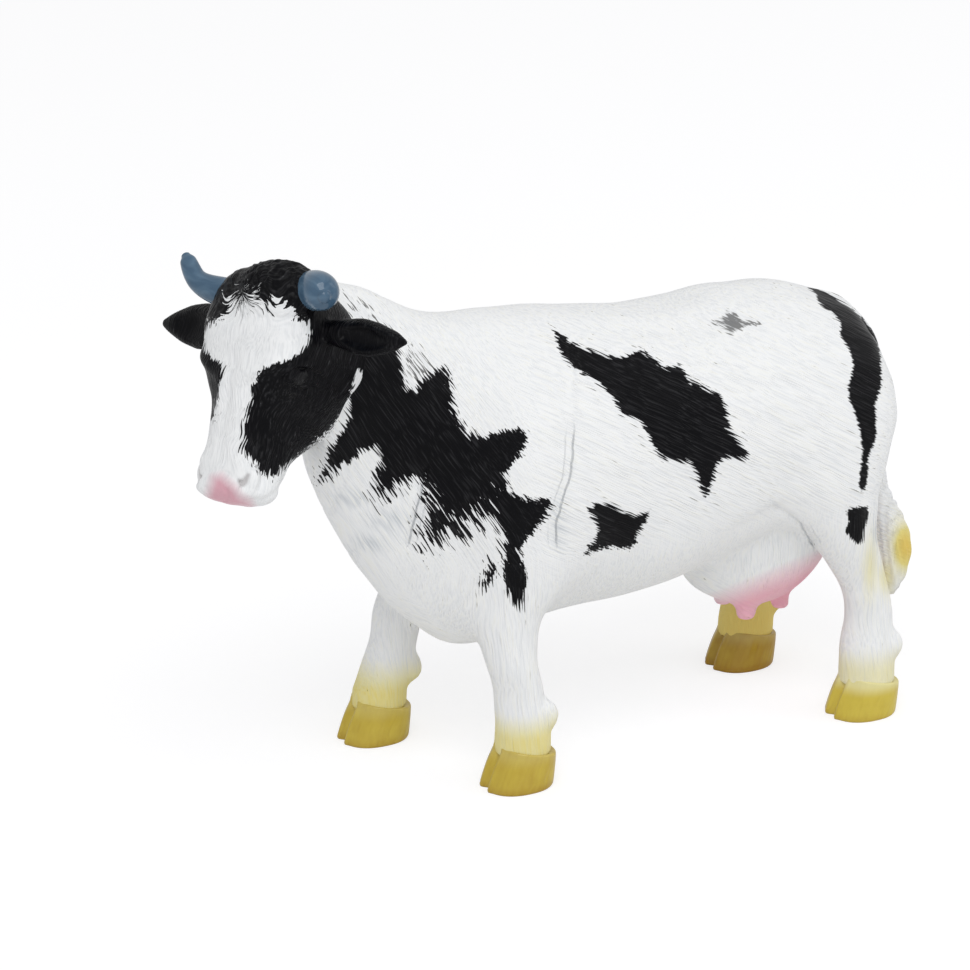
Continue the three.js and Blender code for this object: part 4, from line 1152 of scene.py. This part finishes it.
nostril_places = [skull_place(pixel) for pixel in NOSTRIL_PIXELS]
eye_share, eye_degrees = skull_place(EYE_PIXEL)
ears, cups, pits, eyes = {}, [], [], []
for hand, side in ((-1, "left"), (1, "right")):
    degrees = 180 - eye_degrees if hand > 0 else eye_degrees
    out = skull_normal(eye_share, degrees)
    middle = skull_point(eye_share, degrees) - out * EYE_SUNK
    muzzleward = np.cross(out, np.cross([-1.0, 0, 0], out))
    muzzleward /= np.linalg.norm(muzzleward)
    turn = np.linspace(0, 2 * np.pi, 9)
    lid = middle + out * LID_RISE + np.outer(np.cos(turn) * LID_HALVES[0], muzzleward)
    lid = lid + np.outer(np.sin(turn) * LID_HALVES[1], np.cross(out, muzzleward))
    lid = tube(lid, [[0, 1, 1], [1, 1, 1]], LID_RADIUS, LID_RADIUS, 60, 16, hint=(0.3, 0.2, 1.0))
    eyes.append(head_field.distance(egg(middle, np.ones(3) * EYE_RADIUS)))
    head = melt(melt(head, eyes[-1], EYE_MELT), head_field.distance(lid), LID_MELT)
    comma = np.array([skull_point(*place) for place in nostril_places]) * [1, -hand, 1]
    nostril = tube(comma, NOSTRIL_SIZE_SHARES, NOSTRIL_RADIUS, NOSTRIL_RADIUS, 40, 20)
    pits.append(head_field.distance(nostril))
    head = carve(head, pits[-1], NOSTRIL_ROUNDING)
    route = (np.array(EAR_ROUTES[side]) * EAR_LENGTH + EAR_ROOT) * [1, hand, 1]
    leaf = tube(route, EAR_SIZE_SHARES, EAR_THICKNESS / 2, EAR_WIDTHS[side] / 2, EAR_RINGS, 48)
    low, high = (int(part * (EAR_RINGS - 1)) for part in EAR_CUP_SHARES)
    cup = leaf[low:high]
    core = cup.mean(1, keepdims=True)
    taper = np.sqrt(np.sin(np.pi * np.linspace(0.06, 0.94, len(cup))))[:, None, None]
    cups.append(head_field.distance(core + (cup - core) * taper * EAR_CUP_WIDTHS + EAR_CUP_MOVE))
    ears[side + "_ear"] = carve(head_field.distance(leaf), cups[-1], EAR_CUP_ROUNDING)
way = np.linspace(-1, 1, 13)
mouth_shares = MOUTH_SHARES[0] + (MOUTH_SHARES[1] - MOUTH_SHARES[0]) * way * way
lips = [skull_point(share, w * MOUTH_DEGREES - 90) for share, w in zip(mouth_shares, way)]
mouth = tube(lips, MOUTH_SIZE_SHARES, MOUTH_GROOVE, MOUTH_GROOVE, 90, 16)
head = carve(head, head_field.distance(mouth), MOUTH_ROUNDING)
whole_head = head
for ear in ears.values():
    whole_head = melt(whole_head, ear, EAR_MELT)
head_points, head_faces = head_field.surface(whole_head)

# Relief of the head in the photograph's pixels, as for the hide
HEAD_SWELLINGS = [
    [268, 366, 34, 7, -22, 0.9],
    [300, 385, 30, 22, 20, 0.5],
    [318, 410, 22, 30, 15, 0.8],
    [250, 330, 34, 18, -10, 0.5],
    [236, 400, 7, 40, 8, 0.5],
    [262, 420, 12, 34, 8, -0.7],
    [240, 462, 14, 8, 30, 0.5],
    [254, 478, 6, 11, 15, 0.9],
    [240, 491, 9, 6, 30, 0.8],
    [270, 492, 12, 10, -20, 0.6],
    [212, 470, 8, 14, 0, 0.3],
]
HEAD_FURROWS = [
    ([(250, 466), (258, 468), (262, 478), (258, 490)], 2.6, 0.5),
    ([(236, 480), (228, 474), (218, 470)], 3.0, 0.25),
    ([(226, 490), (228, 505)], 2.0, 0.3),
    ([(252, 500), (262, 500), (276, 490), (290, 474)], 2.4, 0.4),
    ([(284, 377), (296, 368), (312, 370), (322, 378)], 2.2, 0.6),
    ([(286, 384), (298, 389), (314, 386)], 2.2, 0.5),
]
# The crown of curls: how far back, sideways and up it reaches, where its swirl turns, and its relief in mm
HEAD_WAVE_HEIGHT = 0.1
CROWN_FRONT = (-11, -4)
CROWN_SIDES = (12, 16)
CROWN_FOOT = (-8, 0)
SWIRL_MIDDLE = (-1.5, -1.6)
CURL_HEIGHT = 0.12
FINE_CURL_HEIGHT = 0.06

head_normals = vertex_normals(head_points, head_faces)
leftward = to_left(head_points)
head_rise = relief(
    from_head(head_points * leftward), (head_normals * leftward) @ HEAD_AXES.T, HEAD_SWELLINGS, HEAD_FURROWS
)
head_rise += HEAD_WAVE_HEIGHT * slow_wave(head_points, 0.5)
x, y, z = head_points.T
crown = ramp(x, *CROWN_FRONT) * falling(np.abs(y), *CROWN_SIDES) * ramp(z, *CROWN_FOOT)
swirl = np.arctan2(y - SWIRL_MIDDLE[1], x - SWIRL_MIDDLE[0])
reach = np.hypot(y - SWIRL_MIDDLE[1], x - SWIRL_MIDDLE[0])
curls = np.sin(15 * swirl + 2.2 * np.sin(0.9 * reach) + 1.5 * np.sin(0.8 * z))
curls = curls * np.sin(0.9 * reach + 3 * np.sin(4 * swirl))
head_rise += crown * (CURL_HEIGHT * curls + FINE_CURL_HEIGHT * np.sin(31 * swirl + 2 * np.sin(1.3 * reach)))
unraised = head_points
head_points = head_points + head_rise[:, None] * head_normals
head_normals = vertex_normals(head_points, head_faces)

# The white of the face on the side that the photograph shows: forehead, blaze, muzzle and the edge of the jaw
WHITE_FACE = [
    (202, 334), (208, 326), (215, 319), (227, 312), (233, 301), (240, 299), (247, 303), (253, 297), (262, 300),
    (268, 309), (275, 296), (284, 303), (292, 308), (297, 317), (308, 320), (310, 332), (307, 345), (299, 353),
    (286, 361), (268, 366), (259, 371), (256, 380), (250, 390), (251, 400), (246, 408), (246, 418), (241, 427),
    (245, 440), (241, 448), (250, 457), (258, 468), (264, 475), (276, 474), (292, 465), (304, 455), (318, 441),
    (331, 429), (343, 413), (350, 398), (354, 381), (357, 370), (361, 372), (367, 384), (356, 440), (300, 520),
    (180, 520), (180, 440), (212, 420), (216, 402), (221, 381), (223, 364), (213, 359), (205, 350),
]
# The pink of the nose: its outline, the pixels over which it fades and how strong it is on the outline
PINK_NOSE = [(212, 477), (221, 475), (228, 481), (235, 487), (240, 495), (250, 501), (254, 508), (226, 512), (205, 500)]
NOSE_FADE = 13
NOSE_EDGE = 0.45
NOSE_START = (36, 40)
BLAZE_END = (20, 34)
# Fur lies flat in the ears' cups and on the muzzle: mm from a cup's wall, and mm forward
CUP_BAND = (-0.3, 0.5)
MUZZLE = (36, 41)
EAR_BAND = (0.0, 1.0)
PIT_BAND = (-0.25, 0.35)
EYE_BAND = (-0.1, 0.3)


def least(cells):
    """The distance from the head's points to the nearest of some fields."""
    return np.minimum.reduce([head_field.sample(some, unraised) for some in cells])


placed, placed_normals = from_head(head_points), head_normals @ HEAD_AXES.T
across, down = seen_at(placed)
forward = -head_points[:, 0]
# Black: mm outside the white of the face, read through the lens, and on the far side for the mirrored point
near_side = -in_outline(across, down, WHITE_FACE) * PIXEL
far_side = -in_outline(*seen_at(from_head(head_points * [1, -1, 1])), WHITE_FACE) * PIXEL
head_black = far_side + (near_side - far_side) * facing(placed, placed_normals)
head_black = np.maximum(head_black, falling(least(ears.values()), *EAR_BAND) * 8 - 4)
head_pink = np.clip(in_outline(across, down, PINK_NOSE) / NOSE_FADE + NOSE_EDGE, 0, 1) * ramp(forward, *NOSE_START)
fur = 1 - 0.9 * falling(least(cups), *CUP_BAND) - 0.75 * ramp(forward, *MUZZLE) * falling(head_black, -1, 0)
head_marks = dict(
    black=head_black,
    edge=0.4 + 1.6 * crown + 0.5 * ramp(forward, *BLAZE_END),
    pink=head_pink,
    crown=crown,
    fur=fur,
    swirl=np.stack([14.0 * swirl + 2 * np.sin(0.8 * reach), reach / 4.0, 0.4 * z], 1),
    pit=falling(least(pits), *PIT_BAND),
    eye=falling(least(eyes), *EYE_BAND),
)
head_fields = {"head": head, "right_ear": ears["right_ear"], "left_ear": ears["left_ear"]}
head_distances = {name: head_field.sample(cells, unraised) for name, cells in head_fields.items()}

# The same vinyl and black as the body's; strands run from the poll to the muzzle and curl on the crown
FACE_PITCH = 0.00038
FACE_LENGTH = 0.006
FACE_SWAY = 1.3
FACE_EDGE = (-0.12, 0.15)
FACE_LIFT = 0.00022
FACE_HOLLOWS = (0.6, 0.25)
FACE_ROUGHNESS = 0.44
FACE_BLACK_ROUGHNESS = 0.34
NOSE_STRENGTH = 0.75
NOSTRIL_SHADE_STRENGTH = 0.6
EYE_GLOSS = 0.25
# Glints on the tips of black strands: their heights, how fine their spots are, which spots shine and how strongly
GLINT_TIPS = (0.8, 1.0)
GLINT_SCALE = 900.0
GLINT_SPOTS = (0.5, 0.65)
GLINT_STRENGTH = 0.6
GLINT = (0.14, 0.145, 0.15, 1)
# Painted shade in the nostrils
NOSTRIL_SHADE = (0.16, 0.11, 0.10, 1)

mane = Paint("head_coat")
straight = mane.furrows(HEAD_AXES @ [-1.0, 0, 0], FACE_PITCH, FACE_LENGTH, FACE_SWAY)
curly = mane.strands(mane.attribute("swirl", "Vector"))
furry = mane.attribute("fur")
strands = straight + (curly - straight) * mane.attribute("crown")
painted = (mane.attribute("black") + (strands - 0.5) * mane.attribute("edge") * BRUSHING).step(*FACE_EDGE)
# Painted shade in the hollows of the white face's strands
blaze = mane.mix(strands.step(*FACE_HOLLOWS) * HOLLOW_SHADE, WHITE, SHADE)
pinked = mane.mix(mane.attribute("pink") * NOSE_STRENGTH, blaze, NOSE)
# Painted highlights: glints and paler tips on the black strands
glint = (strands.step(*GLINT_TIPS) * mane.noise(mane.place, GLINT_SCALE, 1.0).step(*GLINT_SPOTS)) * GLINT_STRENGTH
black_and_highlights = mane.mix(glint * furry, mane.mix(strands.step(*HIGHLIGHT_TIPS) * furry, BLACK, BLACK_HIGHLIGHT), GLINT)
# Painted shade darkens the nostrils
colour = mane.mix(mane.attribute("pit") * NOSTRIL_SHADE_STRENGTH, mane.mix(painted, pinked, black_and_highlights), NOSTRIL_SHADE)
roughness = painted * (FACE_BLACK_ROUGHNESS - FACE_ROUGHNESS) + FACE_ROUGHNESS
wet = mane.attribute("eye") * EYE_GLOSS
head_material = mane.finish(colour, roughness, (strands - 0.5) * furry, FACE_LIFT, 0.9, Coat_Weight=wet)
cut_skin(placed, placed_normals, head_faces, head_marks, head_distances, head_material)

# The horns: solid glossy vinyl, slate blue with pale streaks along them, their roots plugged into the poll. The left
# one is thick and blunt, the right one slimmer and curled up.
HORN_LENGTH = 18.0
HORN_RADIUS = 4.2
HORN_ROOT = np.array([0.0, 8.0, 0.0])
HORN_ROUTES = dict(
    left=[[0.0, 0.0, 0.0], [0.07, 0.3, 0.1], [0.05, 0.58, 0.23], [-0.04, 0.82, 0.36]],
    right=[[0.0, 0.0, 0.0], [0.0, 0.33, 0.11], [0.1, 0.67, 0.24], [0.38, 0.88, 0.33]],
)
HORN_SIZES = dict(
    left=[[0.0, 0.95, 0.95], [0.4, 1.04, 1.04], [0.75, 0.98, 0.98], [0.93, 0.74, 0.74], [1.0, 0.34, 0.34]],
    right=[[0.0, 0.95, 0.95], [0.4, 0.76, 0.76], [0.7, 0.56, 0.56], [0.94, 0.43, 0.43], [1.0, 0.25, 0.25]],
)
HORN_CAP_SHARE = 0.7
HORN_ROUGHNESS = 0.18
HORN_GLOSS = 0.5
STREAK_PITCH = 0.0016
STREAK_LENGTH = 0.009
STREAK_LIFT = 0.00006
SLATE = (0.058, 0.112, 0.178, 1)
PALE_SLATE = (0.15, 0.24, 0.33, 1)


def closed(grid):
    """The points and outward triangles of a grid with both its ends closed."""
    points, quads, caps = faces_of(grid)
    return points, outward(points - points.mean(0), np.concatenate([quads[:, [0, 1, 2]], quads[:, [0, 2, 3]], caps]))


horn = Paint("horn_slate")
streaks = horn.furrows(HEAD_AXES @ [0.0, 1, 0], STREAK_PITCH, STREAK_LENGTH, 0.5)
slate = horn.mix(streaks.step(0.3, 1.0) * 0.5, SLATE, PALE_SLATE)
horn_material = horn.finish(slate, HORN_ROUGHNESS, streaks, STREAK_LIFT, 0.5, Coat_Weight=HORN_GLOSS)
for hand, side in ((-1, "left"), (1, "right")):
    route = (np.array(HORN_ROUTES[side]) * HORN_LENGTH + HORN_ROOT) * [1, hand, 1]
    grid = tube(route, HORN_SIZES[side], HORN_RADIUS, HORN_RADIUS, 90, 56)
    # A cap rounds off the tip: its rings shrink with a cosine and move on with a sine
    tip = grid[-1].mean(0)
    edge = grid[-1] - tip
    travel = tip - grid[-3].mean(0)
    travel /= np.linalg.norm(travel)
    way = np.linspace(0.1, 0.96, 8)[:, None, None] * np.pi / 2
    cap = tip + edge * np.cos(way) + travel * np.sin(way) * np.linalg.norm(edge[0]) * HORN_CAP_SHARE
    points, faces = closed(np.concatenate([grid, cap]))
    make_piece(side + "_horn", from_head(points), faces, horn_material)

# The hooves: hard glossy vinyl in ochre gold, pushed over a peg under each leg. The rim is crisp and falls towards the
# heel, the wall flares to the ground and a cleft runs up between the two toes.
HOOF_LENGTH = 16.6
HOOF_WIDTH = 15.4
HOOF_HEEL_DROP = 2.6
HOOF_CORNER_POWER = 0.86
# height, shift to the rear, length, width
HOOF_SHARES = [
    [0.0, -0.1, 0.96, 0.96],
    [0.05, -0.095, 0.985, 0.985],
    [0.5, -0.03, 0.91, 0.97],
    [0.85, 0.03, 0.82, 0.93],
    [0.97, 0.038, 0.8, 0.92],
    [1.0, 0.04, 0.77, 0.89],
]
CLEFT_DEPTH = 1.1
CLEFT_WIDTH = 0.1
CLEFT_RIDGE = 0.35
CLEFT_RIDGE_PLACE = 2.4
HOOF_AROUND = 160
# How far the hollow top lies inside the rim, as a share, and below it in mm
HOOF_TOP_SHARE = 0.45
HOOF_TOP_SUNK = 0.6
HOOF_TONES = dict(front_left=0.35, front_right=0.25, hind_left=0.0, hind_right=0.8)
HOOF_PALE_RIMS = dict(front_left=0.15, front_right=0.15, hind_left=0.75, hind_right=0.15)
HOOF_ROUGHNESS = 0.3
HOOF_SPECULAR = 0.5
GRAIN_PITCH = 0.0009
GRAIN_LENGTH = 0.005
GRAIN_LIFT = 0.00014
PALE_RIM = (5.5, 9.0)
HOOF_GOLD = (0.60, 0.47, 0.055, 1)
HOOF_BROWN = (0.36, 0.20, 0.008, 1)
HOOF_PALE = (0.80, 0.76, 0.42, 1)


def hoof_points(name):
    """A hoof as rings of squared ovals from the sole to the rim. Each point's height falls towards the heel with the
    cosine of its angle, and a Gaussian notch at the toe makes the cleft, between two low ridges."""
    _, _, x, hand = leg_root(name)
    share = np.concatenate([np.linspace(0, 0.1, 5)[:-1], np.linspace(0.1, 0.9, 24)[:-1], np.linspace(0.9, 1, 8)])
    _, shift, long, wide = rows_at(HOOF_SHARES, share).T
    angle = 2 * np.pi * np.arange(HOOF_AROUND) / HOOF_AROUND
    c, s = squared(angle, HOOF_CORNER_POWER)
    off = (angle - np.pi) / CLEFT_WIDTH
    notch = CLEFT_DEPTH * np.exp(-(off**2)) - CLEFT_RIDGE * np.exp(-((np.abs(off) - CLEFT_RIDGE_PLACE) ** 2))
    heel = HOOF_LENGTH * shift[:, None] + long[:, None] * HOOF_LENGTH / 2 * c + notch * ramp(-c, 0.5, 0.9)
    side = wide[:, None] * HOOF_WIDTH / 2 * s
    height = share[:, None] * (HOOF_HEIGHT - HOOF_HEEL_DROP * (1 + c) / 2)
    grid = np.stack([x + heel, hand * HOOF_SPREAD + side, height], -1)
    inward = np.array([1 - HOOF_TOP_SHARE, 1 - HOOF_TOP_SHARE, 0])
    top = grid[-1] * (1 - inward) + grid[-1].mean(0) * inward - [0, 0, HOOF_TOP_SUNK]
    return closed(np.concatenate([grid, top[None]]))


hoof = Paint("hoof_gold")
grain = hoof.furrows((0.35, 0, 1.0), GRAIN_PITCH, GRAIN_LENGTH, 0.5)
cloud = hoof.noise(hoof.place, 260.0)
tone = (hoof.attribute("tone") + (cloud - 0.5) * 0.5 + (grain - 0.5) * 0.25).clip()
gilding = hoof.mix(hoof.attribute("pale"), hoof.mix(tone, HOOF_GOLD, HOOF_BROWN), HOOF_PALE)
hoof_material = hoof.finish(gilding, HOOF_ROUGHNESS, grain, GRAIN_LIFT, 0.7, Specular_IOR_Level=HOOF_SPECULAR)
for name, tone in HOOF_TONES.items():
    points, faces = hoof_points(name)
    # Browner towards the sole: painted shade near the ground
    shade = tone + 0.3 * falling(points[:, 2], 0, 2.5)
    rim = ramp(points[:, 2], *PALE_RIM) * HOOF_PALE_RIMS[name]
    make_piece(name + "_hoof", points, faces, hoof_material, attributes=[("tone", shade), ("pale", rim)])

# The ground, the lamps and the camera of the photograph. The camera sees a white floor that keeps the shadow; all
# other light meets a plain pale one.
FLOOR_SIZE = 8
FLOOR_GLOW = 0.67
FLOOR_SHADE = (0.40, 0.40, 0.41, 1)
SKY_STRENGTH = 0.62
LAMP_AIM = Vector((0, 0, 0.05))
LAMP_SIZE = 0.9
# place in metres, watts
LAMPS = dict(key=((-0.35, -0.8, 1.2), 7.0), fill=((1.0, -0.5, 0.8), 2.5))
CAMERA_PLACE = Vector((-0.35473, -0.70560, 0.34374))
CAMERA_AIM = Vector((-0.01076, 0.01772, 0.05914))
CAMERA_ROLL_DEGREES = -0.845
CAMERA_LENS = 135.71
CAMERA_SENSOR = 36.0

bpy.ops.mesh.primitive_plane_add(size=FLOOR_SIZE)
floor = bpy.context.object
floor.name = "ground"
ground = Paint("ground")
ground.finish((0.9, 0.9, 0.9, 1), 0.8)
glow = ground.node("ShaderNodeEmission", Color=(1, 1, 1, 1), Strength=FLOOR_GLOW)
both = ground.node("ShaderNodeAddShader", None, glow, ground.node("ShaderNodeBsdfDiffuse", Color=FLOOR_SHADE))
plain = Value(ground.tree, ground.shader.outputs[0])
by_camera = ground.node("ShaderNodeLightPath", output="Is Camera Ray")
floor_look = ground.node("ShaderNodeMixShader", None, by_camera, plain, both)
join(ground.tree, floor_look, ground.tree.nodes["Material Output"].inputs["Surface"])
floor.data.materials.append(ground.material)

scene = bpy.context.scene
scene.world = bpy.data.worlds.new("world")
scene.world.use_nodes = True
sky = scene.world.node_tree.nodes["Background"].inputs
sky["Color"].default_value = (1, 1, 1, 1)
sky["Strength"].default_value = SKY_STRENGTH

for name, (place, power) in LAMPS.items():
    light = bpy.data.lights.new(name, "AREA")
    light.shape = "DISK"
    light.size = LAMP_SIZE
    light.energy = power
    lamp = bpy.data.objects.new(name, light)
    lamp.location = place
    lamp.rotation_euler = (LAMP_AIM - Vector(place)).to_track_quat("-Z", "Y").to_euler()
    scene.collection.objects.link(lamp)

camera_data = bpy.data.cameras.new("camera")
camera_data.lens = CAMERA_LENS
camera_data.sensor_width = CAMERA_SENSOR
camera = bpy.data.objects.new("camera", camera_data)
camera.location = CAMERA_PLACE
roll = Quaternion((0, 0, 1), np.radians(CAMERA_ROLL_DEGREES))
camera.rotation_euler = ((CAMERA_AIM - CAMERA_PLACE).to_track_quat("-Z", "Y") @ roll).to_euler()
scene.collection.objects.link(camera)
scene.camera = camera
scene.view_settings.view_transform = "Standard"
